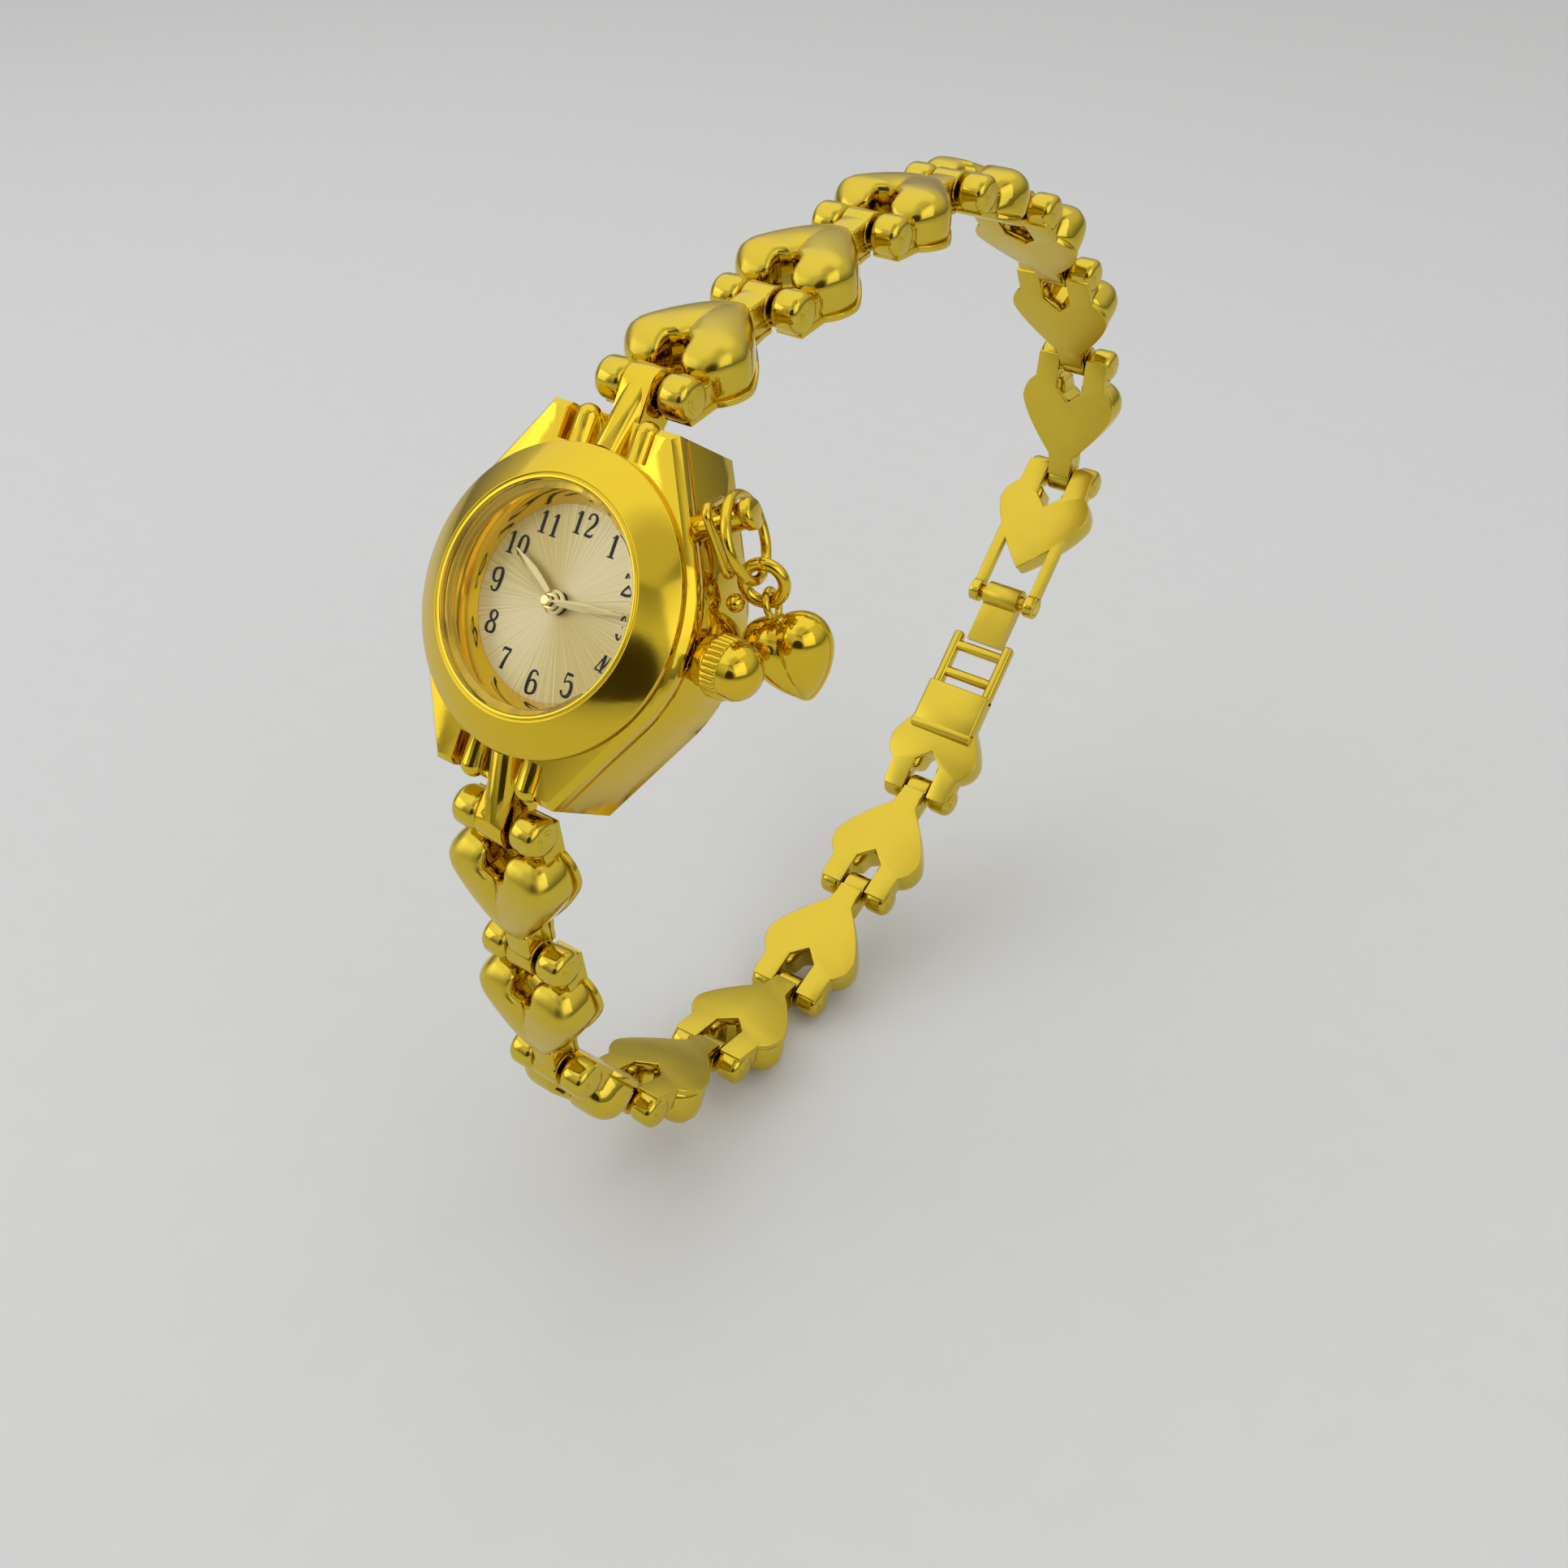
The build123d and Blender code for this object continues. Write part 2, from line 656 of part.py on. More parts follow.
def egg_face(big, reach, small):
    """Half the outline of a ball that tapers along +Y in a round sweep to a small ball."""
    sweep = (big ** 2 + reach ** 2 - small ** 2) / (2 * (big - small))
    turn = math.atan2(reach, sweep - big)
    join = on_arc(big - sweep, 0, sweep, turn)
    half_way = on_arc(0, reach, small, (turn + math.pi / 2) / 2)
    return make_face([
        Line((0, -big), (0, reach + small)),
        ThreePointArc((0, reach + small), half_way, join),
        ThreePointArc(join, on_arc(big - sweep, 0, sweep, turn / 2), (big, 0)),
        ThreePointArc((big, 0), on_arc(0, 0, big, -math.pi / 4), (0, -big)),
    ])


def puffed_charm(top, down, across):
    """A small puffed heart under its eye, with its width along the given direction."""
    frame = Plane(origin=top, x_dir=across, z_dir=down.cross(across))
    reach = math.hypot(charm_lobe_offset, charm_tip_drop)
    lean_in = math.degrees(math.atan2(charm_lobe_offset, charm_tip_drop))
    body = Pos(0, -charm_lobe_radius / 2, 0) * Cylinder(
        eye_wire * 2, charm_lobe_radius, rotation=(90, 0, 0))
    lobe = revolve(egg_face(charm_lobe_radius, reach, charm_tip_radius), Axis.Y)
    half = egg_face(charm_lobe_radius + charm_rim, reach, charm_tip_radius + charm_rim)
    rim = extrude(half + mirror(half, Plane.YZ), charm_rim_thickness / 2, both=True)
    for side in (-1, 1):
        place = Pos(side * charm_lobe_offset, -charm_lobe_radius, 0) * Rot(0, 0, 180 - side * lean_in)
        body += place * lobe + place * rim
    return frame * body


def make_charms():
    """Large ring, jump ring and heart charm in a chain, and the wire bail with its bead."""
    along = unit(post_point(post_length) - post_point(0))
    level = unit(Vector(along.X, along.Y, 0))
    pieces, pivots = {}, {}

    down, across = hang_frame(hang_out_ratio, hang_back_ratio, level)
    sideways = unit(down.cross(across))
    hook = post_point(ring_station)
    lift = (post_radius + ring_wire + loop_gap) / across.dot(along)
    ring_centre = hook + down * (ring_radius - lift)
    pieces["charm_ring"] = loop(ring_centre, across, ring_radius, ring_wire)
    pivots["charm_ring_swing"] = (hook, along)
    jump_top = ring_centre + down * (ring_radius - ring_wire - jump_wire - loop_gap)
    jump_centre = jump_top + down * jump_radius
    pieces["jump_ring"] = loop(jump_centre, sideways, jump_radius, jump_wire)
    pivots["jump_ring_swing"] = (jump_top, across)
    eye_top = jump_centre + down * (jump_radius - jump_wire - eye_wire - loop_gap)
    eye_centre = eye_top + down * eye_radius
    eye = loop(eye_centre, across, eye_radius, eye_wire)
    pieces["heart_charm"] = eye + puffed_charm(eye_centre + down * eye_radius, down, across)
    pivots["heart_charm_swing"] = (eye_top, sideways)

    down, across = hang_frame(bail_out_ratio, -bail_forward_ratio, level)
    hook = post_point(bail_station)
    lift = (post_radius + bail_wire + loop_gap) / across.dot(along)
    frame = Plane(origin=hook, x_dir=across.cross(down), z_dir=across)
    path = FilletPolyline((bail_half_width, lift), (0, -bail_drop), (-bail_half_width, lift),
                          radius=2 * bail_wire, close=True)
    wire = sweep(Plane(origin=path @ 0, z_dir=path % 0) * Circle(bail_wire), path)
    pieces["wire_bail"] = frame * wire
    pieces["bead_charm"] = frame * Pos(0, -bail_drop - bead_radius + bail_wire, 0) * Sphere(bead_radius)
    pivots["wire_bail_swing"] = (hook, along)
    return pieces, pivots


def build_watch():
    """Every node in the leaned frame, and the joint pivots for the record."""
    bench = {
        "case_body": make_case_body(),
        "bezel_ring": make_bezel_ring(),
        "crystal": drum(crystal_radius - snug, crystal_base, crystal_base + crystal_thickness),
        "crystal_gasket": washer(crystal_radius - snug, seat_lip_radius + snug, seat_lip_height,
                                 crystal_base),
        "rehaut_ring": make_rehaut_ring(),
        "dial": make_dial(),
        "case_back": make_case_back(),
        "case_back_gasket": washer(case_bore_radius - snug, case_bore_radius - back_collar_wall,
                                   case_base + back_collar_height,
                                   case_base + back_collar_height + gasket_height),
        "crown_tube": make_crown_tube(),
        "crown_gasket": make_crown_gasket(),
        "crown": make_crown(),
        "crown_stem": make_stem(),
        "sliding_clutch": make_clutch(),
        "charm_post": make_post(),
    }
    bench.update(make_movement())
    bench.update(make_hands())

    link = make_link()
    upper, upper_end = chain(upper_bend_angles, 1)
    lower, lower_end = chain(lower_bend_angles, -1)
    span = math.dist(upper_end, lower_end)
    closing = math.degrees(math.atan2(lower_end[1] - upper_end[1], lower_end[0] - upper_end[0]))
    upper_turn = -closing % 360
    lower_turn = 360 - upper_turn
    for index, (point, turned) in enumerate(upper, 1):
        bench[f"upper_link_{index}"] = seat(point, turned, 1) * link
    for index, (point, turned) in enumerate(lower, 1):
        bench[f"lower_link_{index}"] = seat(point, turned, -1) * link
    upper_seat = seat(upper_end, upper_turn, 1)
    bench["upper_end_link"] = upper_seat * make_upper_end_link()
    bench["clasp_pin"] = upper_seat * make_clasp_pin()
    bench["clasp_cover"] = upper_seat * make_clasp_cover()
    bench["lower_end_link"] = seat(lower_end, lower_turn, -1) * make_lower_end_link(
        span - end_bar_distance - bar_to_rung)

    nodes = {name: watch_pose * shape for name, shape in bench.items()}
    charms, charm_pivots = make_charms()
    nodes.update(charms)

    print("clasp span", round(span, 3), "end turns", round(upper_turn, 2), round(lower_turn, 2))
    hinges = {f"upper_{i}": p for i, (p, _) in enumerate(upper, 1)}
    hinges.update({f"lower_{i}": p for i, (p, _) in enumerate(lower, 1)})
    hinges["upper_end"] = upper_end
    hinges["lower_end"] = lower_end
    for name, point in hinges.items():
        report_pivot(name, (watch_pose * Pos(0, *point)).position, Vector(1, 0, 0))
    report_pivot("clasp_bar", (watch_pose * upper_seat * Pos(0, end_bar_distance, -clasp_line)).position,
                 Vector(1, 0, 0))
    report_pivot("crown", (watch_pose * Pos(crown_start, 0, crown_height)).position, Vector(1, 0, 0))
    report_pivot("dial", (watch_pose * Pos(0, 0, dial_ledge_height)).position,
                 (watch_pose * Pos(0, 0, 1)).position)
    for name, (point, axis) in charm_pivots.items():
        report_pivot(name, point, axis)
    return nodes


def report_pivot(name, point, axis):
    print("pivot", name, *(round(value, 5) for value in (*point, *axis)))


def main():
    os.makedirs("parts", exist_ok=True)
    for name, shape in build_watch().items():
        export_step(shape, f"parts/{name}.step")


main()
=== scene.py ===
import json
import math

import bmesh
import bpy
from mathutils import Matrix, Vector


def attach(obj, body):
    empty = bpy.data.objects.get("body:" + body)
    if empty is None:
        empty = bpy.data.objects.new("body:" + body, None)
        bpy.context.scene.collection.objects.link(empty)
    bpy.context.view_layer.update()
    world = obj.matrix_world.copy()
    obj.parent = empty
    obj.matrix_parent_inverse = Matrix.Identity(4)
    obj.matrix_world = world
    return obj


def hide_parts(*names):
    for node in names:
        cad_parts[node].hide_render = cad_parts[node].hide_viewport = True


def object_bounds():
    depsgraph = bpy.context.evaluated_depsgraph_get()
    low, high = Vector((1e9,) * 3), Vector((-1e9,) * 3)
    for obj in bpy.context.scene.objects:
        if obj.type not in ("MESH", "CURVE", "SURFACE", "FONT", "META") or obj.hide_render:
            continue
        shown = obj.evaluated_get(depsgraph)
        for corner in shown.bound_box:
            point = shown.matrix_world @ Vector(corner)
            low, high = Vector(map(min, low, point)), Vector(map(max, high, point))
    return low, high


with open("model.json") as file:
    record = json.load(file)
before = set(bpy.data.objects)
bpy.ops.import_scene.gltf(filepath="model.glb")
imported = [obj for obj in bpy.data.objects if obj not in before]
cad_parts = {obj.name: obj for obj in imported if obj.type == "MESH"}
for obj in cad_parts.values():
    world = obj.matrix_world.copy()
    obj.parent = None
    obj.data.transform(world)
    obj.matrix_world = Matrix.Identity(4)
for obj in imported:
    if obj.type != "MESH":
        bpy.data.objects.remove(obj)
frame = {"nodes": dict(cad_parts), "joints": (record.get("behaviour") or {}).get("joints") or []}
cadBox = [list(corner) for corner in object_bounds()]
print("frame loaded")

mm = 0.001
leanTurn = math.radians(55.5)   # the bench frame is stood up by this turn about X
caseSpace = Matrix.Rotation(leanTurn, 4, "X") @ Matrix.Scale(mm, 4)
pivots = {joint["name"]: Vector(joint["pos_m"]) for joint in frame["joints"] if "pos_m" in joint}


# Materials

goldLook = {
    "polished": (0.74, 0.52, 0.035),
    "satin": (0.68, 0.505, 0.05),
    "deep": (0.92, 0.64, 0.025),
    "pale": (0.86, 0.74, 0.36),
    "steel": (0.54, 0.54, 0.55),
    "blotchScale": 260.0,       # slow changes of gloss
    "blotchDetail": 2.0,
    "blotchFrom": 0.35,
    "blotchTo": 0.7,
    "grainDetail": 4.0,
    "grainBump": 0.35,
    "polishedShare": 0.28,      # of the satin roughness, where the polish layer is full
}


def newMaterial(name):
    material = bpy.data.materials.new(name)
    material.use_nodes = True
    nodes = material.node_tree.nodes
    return material, nodes, material.node_tree.links, nodes["Principled BSDF"]


def spread(nodes, links, source, low, high, start=0.0, end=1.0):
    ranger = nodes.new("ShaderNodeMapRange")
    ranger.inputs["From Min"].default_value = start
    ranger.inputs["From Max"].default_value = end
    ranger.inputs["To Min"].default_value = low
    ranger.inputs["To Max"].default_value = high
    links.new(source, ranger.inputs["Value"])
    return ranger.outputs["Result"]


def mathOn(nodes, links, operation, *values):
    step = nodes.new("ShaderNodeMath")
    step.operation = operation
    for socket, value in zip(step.inputs, values):
        if isinstance(value, bpy.types.NodeSocket):
            links.new(value, socket)
        else:
            socket.default_value = value
    return step.outputs["Value"]


def noiseOn(nodes, links, scale, detail=3.0, stretch=(1, 1, 1)):
    coordinates = nodes.new("ShaderNodeTexCoord")
    mapping = nodes.new("ShaderNodeMapping")
    mapping.inputs["Scale"].default_value = stretch
    links.new(coordinates.outputs["Object"], mapping.inputs["Vector"])
    noise = nodes.new("ShaderNodeTexNoise")
    noise.inputs["Scale"].default_value = scale
    noise.inputs["Detail"].default_value = detail
    links.new(mapping.outputs["Vector"], noise.inputs["Vector"])
    return noise.outputs["Fac"]


def bumpOn(nodes, links, shader, height, strength, distance):
    bump = nodes.new("ShaderNodeBump")
    bump.inputs["Strength"].default_value = strength
    bump.inputs["Distance"].default_value = distance
    links.new(height, bump.inputs["Height"])
    links.new(bump.outputs["Normal"], shader.inputs["Normal"])


def goldFinish(name, colour, smooth, rough, grain=900.0, waves=0.00002, polishLayer=False, stretch=(1, 1, 1)):
    material, nodes, links, shader = newMaterial(name)
    shader.inputs["Base Color"].default_value = (*colour, 1)
    shader.inputs["Metallic"].default_value = 1.0
    blotches = noiseOn(nodes, links, goldLook["blotchScale"], goldLook["blotchDetail"])
    fine = noiseOn(nodes, links, grain, goldLook["grainDetail"], stretch)
    level = spread(nodes, links, blotches, smooth, rough, goldLook["blotchFrom"], goldLook["blotchTo"])
    if polishLayer:
        layer = nodes.new("ShaderNodeAttribute")
        layer.attribute_name = "polish"
        shine = spread(nodes, links, layer.outputs["Fac"], 1.0, goldLook["polishedShare"])
        level = mathOn(nodes, links, "MULTIPLY", level, shine)
    links.new(level, shader.inputs["Roughness"])
    bumpOn(nodes, links, shader, fine, goldLook["grainBump"], waves)
    return material


polishedGold = goldFinish("polishedGold", goldLook["polished"], smooth=0.06, rough=0.13)
satinGold = goldFinish("satinGold", goldLook["satin"], smooth=0.30, rough=0.38, grain=2600.0, waves=0.000012)
heartGold = goldFinish("heartGold", goldLook["satin"], smooth=0.25, rough=0.33, grain=2600.0, waves=0.00001,
                       polishLayer=True)
innerGold = goldFinish("innerGold", goldLook["deep"], smooth=0.05, rough=0.09, waves=0.000006)
brushedGold = goldFinish("brushedGold", goldLook["polished"], smooth=0.09, rough=0.16, grain=1800.0,
                         waves=0.00001, stretch=(1, 0.15, 1))
backSteel = goldFinish("backSteel", goldLook["steel"], smooth=0.24, rough=0.36, grain=2200.0,
                       waves=0.00001, stretch=(1, 0.12, 1))
paleGold = goldFinish("paleGold", goldLook["pale"], smooth=0.16, rough=0.24, grain=1500.0, waves=0.000004)


def plainFinish(name, colour, roughness, metallic=0.0, grain=1200.0, shade=0.85):
    material, nodes, links, shader = newMaterial(name)
    mix = nodes.new("ShaderNodeMix")
    mix.data_type = "RGBA"
    mix.inputs["A"].default_value = (*colour, 1)
    mix.inputs["B"].default_value = (*(part * shade for part in colour), 1)
    links.new(noiseOn(nodes, links, scale=grain), mix.inputs["Factor"])
    links.new(mix.outputs["Result"], shader.inputs["Base Color"])
    shader.inputs["Roughness"].default_value = roughness
    shader.inputs["Metallic"].default_value = metallic
    return material


inkBlack = plainFinish("inkBlack", (0.004, 0.004, 0.003), roughness=0.6)
steelGrey = plainFinish("steelGrey", (0.55, 0.55, 0.56), roughness=0.28, metallic=1.0)
rubberBlack = plainFinish("rubberBlack", (0.03, 0.03, 0.03), roughness=0.6)
movementWhite = plainFinish("movementWhite", (0.62, 0.62, 0.58), roughness=0.45)
boardGreen = plainFinish("boardGreen", (0.03, 0.16, 0.06), roughness=0.4)
coilCopper = plainFinish("coilCopper", (0.72, 0.28, 0.12), roughness=0.3, metallic=1.0)
cellSteel = plainFinish("cellSteel", (0.66, 0.66, 0.67), roughness=0.22, metallic=1.0)


dialLook = {
    # the dark and pale ends of the tint carry the fine rays' random tone and also the painted light and shade
    # of the wedges
    "dark": (0.75, 0.60, 0.21),
    "darkAt": 0.3,
    "pale": (0.98, 0.86, 0.50),
    "paleAt": 0.7,
    "rayScale": 240.0,          # fine rays round the dial
    "rayDetail": 5.0,
    "paintedLightWedges": 2,                # painted light and shade: broad bright and dark wedges round the sunburst
    "paintedLightShare": 0.22,
    "bump": 0.3,
    "bumpHeight": 0.000008,
    "metallic": 0.35,
    "roughness": 0.38,
}


def dialFinish():
    material, nodes, links, shader = newMaterial("champagneDial")
    coordinates = nodes.new("ShaderNodeTexCoord")
    flat = nodes.new("ShaderNodeMapping")
    flat.vector_type = "POINT"
    flat.inputs["Rotation"].default_value = (-leanTurn, 0, 0)
    links.new(coordinates.outputs["Object"], flat.inputs["Vector"])
    rays = nodes.new("ShaderNodeTexGradient")
    rays.gradient_type = "RADIAL"
    links.new(flat.outputs["Vector"], rays.inputs["Vector"])
    wave = nodes.new("ShaderNodeTexNoise")
    wave.noise_dimensions = "1D"
    wave.inputs["Scale"].default_value = dialLook["rayScale"]
    wave.inputs["Detail"].default_value = dialLook["rayDetail"]
    links.new(rays.outputs["Fac"], wave.inputs["W"])
    # painted light and shade: the wedges brighten two sides of the dial's colour and darken the two between,
    # on top of the fine rays
    around = mathOn(nodes, links, "MULTIPLY", rays.outputs["Fac"], 2 * math.pi * dialLook["paintedLightWedges"])
    wedge = mathOn(nodes, links, "SINE", around)
    blend = mathOn(nodes, links, "MULTIPLY_ADD", wedge, dialLook["paintedLightShare"], wave.outputs["Fac"])
    tint = nodes.new("ShaderNodeValToRGB")
    for element, tone in zip(tint.color_ramp.elements, ("dark", "pale")):
        element.position = dialLook[tone + "At"]
        element.color = (*dialLook[tone], 1)
    links.new(blend, tint.inputs["Fac"])
    links.new(tint.outputs["Color"], shader.inputs["Base Color"])
    bumpOn(nodes, links, shader, wave.outputs["Fac"], dialLook["bump"], dialLook["bumpHeight"])
    shader.inputs["Metallic"].default_value = dialLook["metallic"]
    shader.inputs["Roughness"].default_value = dialLook["roughness"]
    return material


def glassFinish(name, colour, index, smooth, rough):
    material, nodes, links, shader = newMaterial(name)
    shader.inputs["Base Color"].default_value = (*colour, 1)
    shader.inputs["Transmission Weight"].default_value = 1.0
    shader.inputs["IOR"].default_value = index
    level = spread(nodes, links, noiseOn(nodes, links, scale=300.0), smooth, rough)
    links.new(level, shader.inputs["Roughness"])
    return material


champagneDial = dialFinish()
clearCrystal = glassFinish("clearCrystal", (1, 1, 1), index=1.15, smooth=0.0, rough=0.012)
clearNylon = glassFinish("clearNylon", (0.95, 0.90, 0.72), index=1.3, smooth=0.05, rough=0.12)
print("materials made")


# Mesh helpers: a new piece is in millimetres until it is placed, a copied CAD node in metres

weldGap = 1e-5
nodeWeldGap = 1e-6
rimAngle = 1.0              # radians; only a rod's rims are as sharp
nodeEdge = {
    "width": 0.05,
    "segments": 2,
    "angle": 34.0,
    "flatAngle": 1.0,       # faces that differ by less are joined first
}


def objectFrom(name, bm, material):
    mesh = bpy.data.meshes.new(name)
    bm.to_mesh(mesh)
    bm.free()
    mesh.materials.append(material)
    mesh.shade_smooth()
    piece = bpy.data.objects.new(name, mesh)
    bpy.context.scene.collection.objects.link(piece)
    return piece


def placePiece(name, bm, space, body, nodes, material, smoothAngle):
    bmesh.ops.remove_doubles(bm, verts=bm.verts, dist=weldGap)
    bmesh.ops.transform(bm, matrix=space, verts=bm.verts)
    bmesh.ops.recalc_face_normals(bm, faces=bm.faces)
    piece = objectFrom(name, bm, material)
    piece.data.set_sharp_from_angle(angle=math.radians(smoothAngle))
    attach(piece, body)
    if nodes:
        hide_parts(*nodes)


def copyNode(name, node, body, material, change=None):
    bm = bmesh.new()
    bm.from_mesh(frame["nodes"][node].data)
    bmesh.ops.remove_doubles(bm, verts=bm.verts, dist=nodeWeldGap)
    if change:
        change(bm)
    bmesh.ops.dissolve_limit(bm, angle_limit=math.radians(nodeEdge["flatAngle"]), verts=bm.verts,
                             edges=bm.edges)
    for face in bm.faces:
        face.material_index = 0
    piece = objectFrom(name, bm, material)
    bevel = piece.modifiers.new("edgeRound", "BEVEL")
    bevel.width = nodeEdge["width"] * mm
    bevel.segments = nodeEdge["segments"]
    bevel.limit_method = "ANGLE"
    bevel.angle_limit = math.radians(nodeEdge["angle"])
    bevel.harden_normals = True
    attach(piece, body)
    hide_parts(node)


def edgesOf(verts):
    # each edge once, in the order met
    return list(dict.fromkeys(edge for vert in verts for edge in vert.link_edges))


def roundEdges(bm, edges, offset, segments=3):
    bmesh.ops.bevel(bm, geom=edges, offset=offset, segments=segments, profile=0.5, affect="EDGES",
                    material=-1, clamp_overlap=True)


def bevelSharp(bm, edges, offset, angle=28.0):
    limit = math.radians(angle)
    sharp = [edge for edge in edges if edge.is_valid and edge.is_manifold and edge.calc_face_angle(0) > limit]
    if sharp:
        roundEdges(bm, sharp, offset)


def turnProfile(bm, points, closed, steps=180):
    ring = [bm.verts.new((radius, 0, height)) for radius, height in points]
    pairs = list(zip(ring, ring[1:]))
    if closed:
        pairs.append((ring[-1], ring[0]))
    edges = [bm.edges.new(pair) for pair in pairs]
    bmesh.ops.spin(bm, geom=ring + edges, cent=(0, 0, 0), axis=(0, 0, 1), dvec=(0, 0, 0),
                   angle=2 * math.pi, steps=steps, use_merge=True)
    bmesh.ops.remove_doubles(bm, verts=bm.verts, dist=weldGap)


def rodAlongX(bm, radius, start, end, y, z, steps, offset):
    turn = Matrix.Translation(((start + end) / 2, y, z)) @ Matrix.Rotation(math.pi / 2, 4, "Y")
    made = bmesh.ops.create_cone(bm, cap_ends=True, segments=steps, radius1=radius, radius2=radius,
                                 depth=abs(end - start), matrix=turn)
    rims = [edge for edge in edgesOf(made["verts"]) if edge.calc_face_angle(0) > rimAngle]
    roundEdges(bm, rims, offset, segments=4)


def blockPart(bm, x0, x1, y0, y1, z0, z1, offset):
    size = Matrix.Diagonal((x1 - x0, y1 - y0, z1 - z0, 1))
    place = Matrix.Translation(((x0 + x1) / 2, (y0 + y1) / 2, (z0 + z1) / 2))
    made = bmesh.ops.create_cube(bm, size=1.0, matrix=place @ size)
    roundEdges(bm, edgesOf(made["verts"]), offset)


# Heart links: Y runs from a link's own hinge to the next one, Z out of its face

heart = {
    "rear": 1.32,           # from the hinge axis to the lobes
    "widest": 3.5,
    "tip": 8.9,
    "halfWidth": 3.92,
    "pocketHalf": 0.78,     # the open pocket between the lobes
    "pocketEnd": 2.75,
    "pocketSoft": 0.55,
    "pocketSquare": 0.34,   # the lobes' walls are this steep beside the pocket
    "overlap": 1.3,         # how far each lobe runs past the middle, which shallows the crease
    "flankPower": 1.4,      # how the lobe's outer side runs to the tip
    "creasePower": 0.8,
    "tipDrop": 0.52,        # share of the height lost towards the tip
    "tipPower": 1.9,
    "noseRound": 7,
    "height": 2.0,
    "middle": 0.15,         # where the dome meets its skirt
    "skirt": -1.02,
    "topSquare": 0.80,
    "sideSquare": 0.30,
    "bottomSquare": 0.55,
    "domeSegments": 48,
    "domeRings": 30,
    "poleGap": 1e-6,        # the ball's poles have no way round
    "cutGap": 1e-4,
    "seamGap": 1e-3,        # the two lobes are joined along the crease
    "plateTop": -0.92,
    "plateBottom": -1.3,
    "plateLip": 0.07,
    "plateRound": 0.07,
    "plateSteps": 48,
    "notch": 3.3,           # the plate's notch between the arms of the ears
    "notchRise": 1.1,
    "armInner": 1.14,
    "armOuter": 2.95,
    "armEnd": -0.5,
    "earInner": 1.15,
    "earOuter": 3.1,
    "earRadius": 1.22,
    "earRound": 0.55,
    "earSteps": 40,
    "rootLowInset": 0.1,    # the block that joins an ear to the heart
    "rootHighInset": 0.2,
    "rootStart": 0.2,
    "rootEnd": 2.9,
    "rootBottom": -1.15,
    "rootTop": 0.25,
    "rootRound": 0.14,
    "pinRadius": 0.44,
    "bossRadius": 0.66,
    "bossRise": 0.03,
    "bossSunk": 0.4,
    "bossSteps": 28,
    "tongueHalf": 0.95,
    "knuckleRadius": 1.16,
    "knuckleRound": 0.14,
    "knuckleSteps": 36,
    "knuckleTop": 0.98,
    "neckInset": 0.02,      # the flat neck from the tip to the knuckle
    "neckSunk": 1.6,
    "neckBottom": -1.0,
    "neckTop": -0.2,
    "neckRound": 0.1,
    "crestInset": 0.05,     # the thicker crest over the neck
    "crestSunk": 1.0,
    "crestPast": 0.7,
    "crestBottom": -0.6,
    "crestRound": 0.26,
    "pitch": 10.2,
}
polish = {
    "flatFrom": 0.25,       # the shell is satin on top and polished on its flanks
    "flatRange": 0.35,
    "fittings": 0.75,
    "satinBelow": -0.85,    # faces that look back are satin
}


def smoothStep(share):
    share = max(0.0, min(1.0, share))
    return share * share * (3 - 2 * share)


def lobeSection(size, y):
    # the middle, the half width and the share of the height of one lobe at y
    half = size["halfWidth"] / 2
    if y < size["widest"]:
        level = math.sqrt(max(0.0, 1 - ((size["widest"] - y) / (size["widest"] - size["rear"])) ** 2))
        outer, inner = half * (1 + level), half * (1 - level)
    else:
        past = min(1.0, (y - size["widest"]) / (size["tip"] - size["widest"]))
        outer = size["halfWidth"] * (1 - past ** size["flankPower"])
        inner = -size["overlap"] * math.sin(math.pi * past ** size["creasePower"])
        drop = size["tipDrop"] * past ** size["tipPower"]
        level = (1 - drop) * math.sqrt(max(0.0, 1 - past ** size["noseRound"]))
    closed = smoothStep((y - size["pocketEnd"]) / size["pocketSoft"])
    inner = max(inner, size["pocketHalf"]) * (1 - closed) + inner * closed
    return (outer + inner) / 2, (outer - inner) / 2, level


def lobeShell(bm, size):
    # a ball is pressed into the lobe's sections, domed above and with a steep skirt below
    ball = bmesh.ops.create_uvsphere(bm, u_segments=size["domeSegments"], v_segments=size["domeRings"],
                                     radius=1.0, matrix=Matrix.Rotation(-math.pi / 2, 4, "X"))
    middle = size["middle"]
    for vert in ball["verts"]:
        place = vert.co.copy()
        along = (1 + max(-1.0, min(1.0, place.y))) / 2
        y = size["rear"] + (size["tip"] - size["rear"]) * along
        centre, half, level = lobeSection(size, y)
        around = Vector((place.x, place.z))
        if around.length < size["poleGap"]:
            vert.co = Vector((centre, y, middle))
            continue
        around.normalize()
        if around.y >= 0:
            square = size["topSquare"]
            if around.x < 0:
                closed = smoothStep((y - size["pocketEnd"]) / (3 * size["pocketSoft"]))
                square = size["pocketSquare"] * (1 - closed) + square * closed
            side = math.copysign(abs(around.x) ** square, around.x)
            lift = middle + (size["height"] - middle) * level * around.y ** square
        else:
            side = math.copysign(abs(around.x) ** size["sideSquare"], around.x)
            lift = middle + (size["skirt"] - middle) * abs(around.y) ** size["bottomSquare"]
        vert.co = Vector((centre + side * half, y, lift))


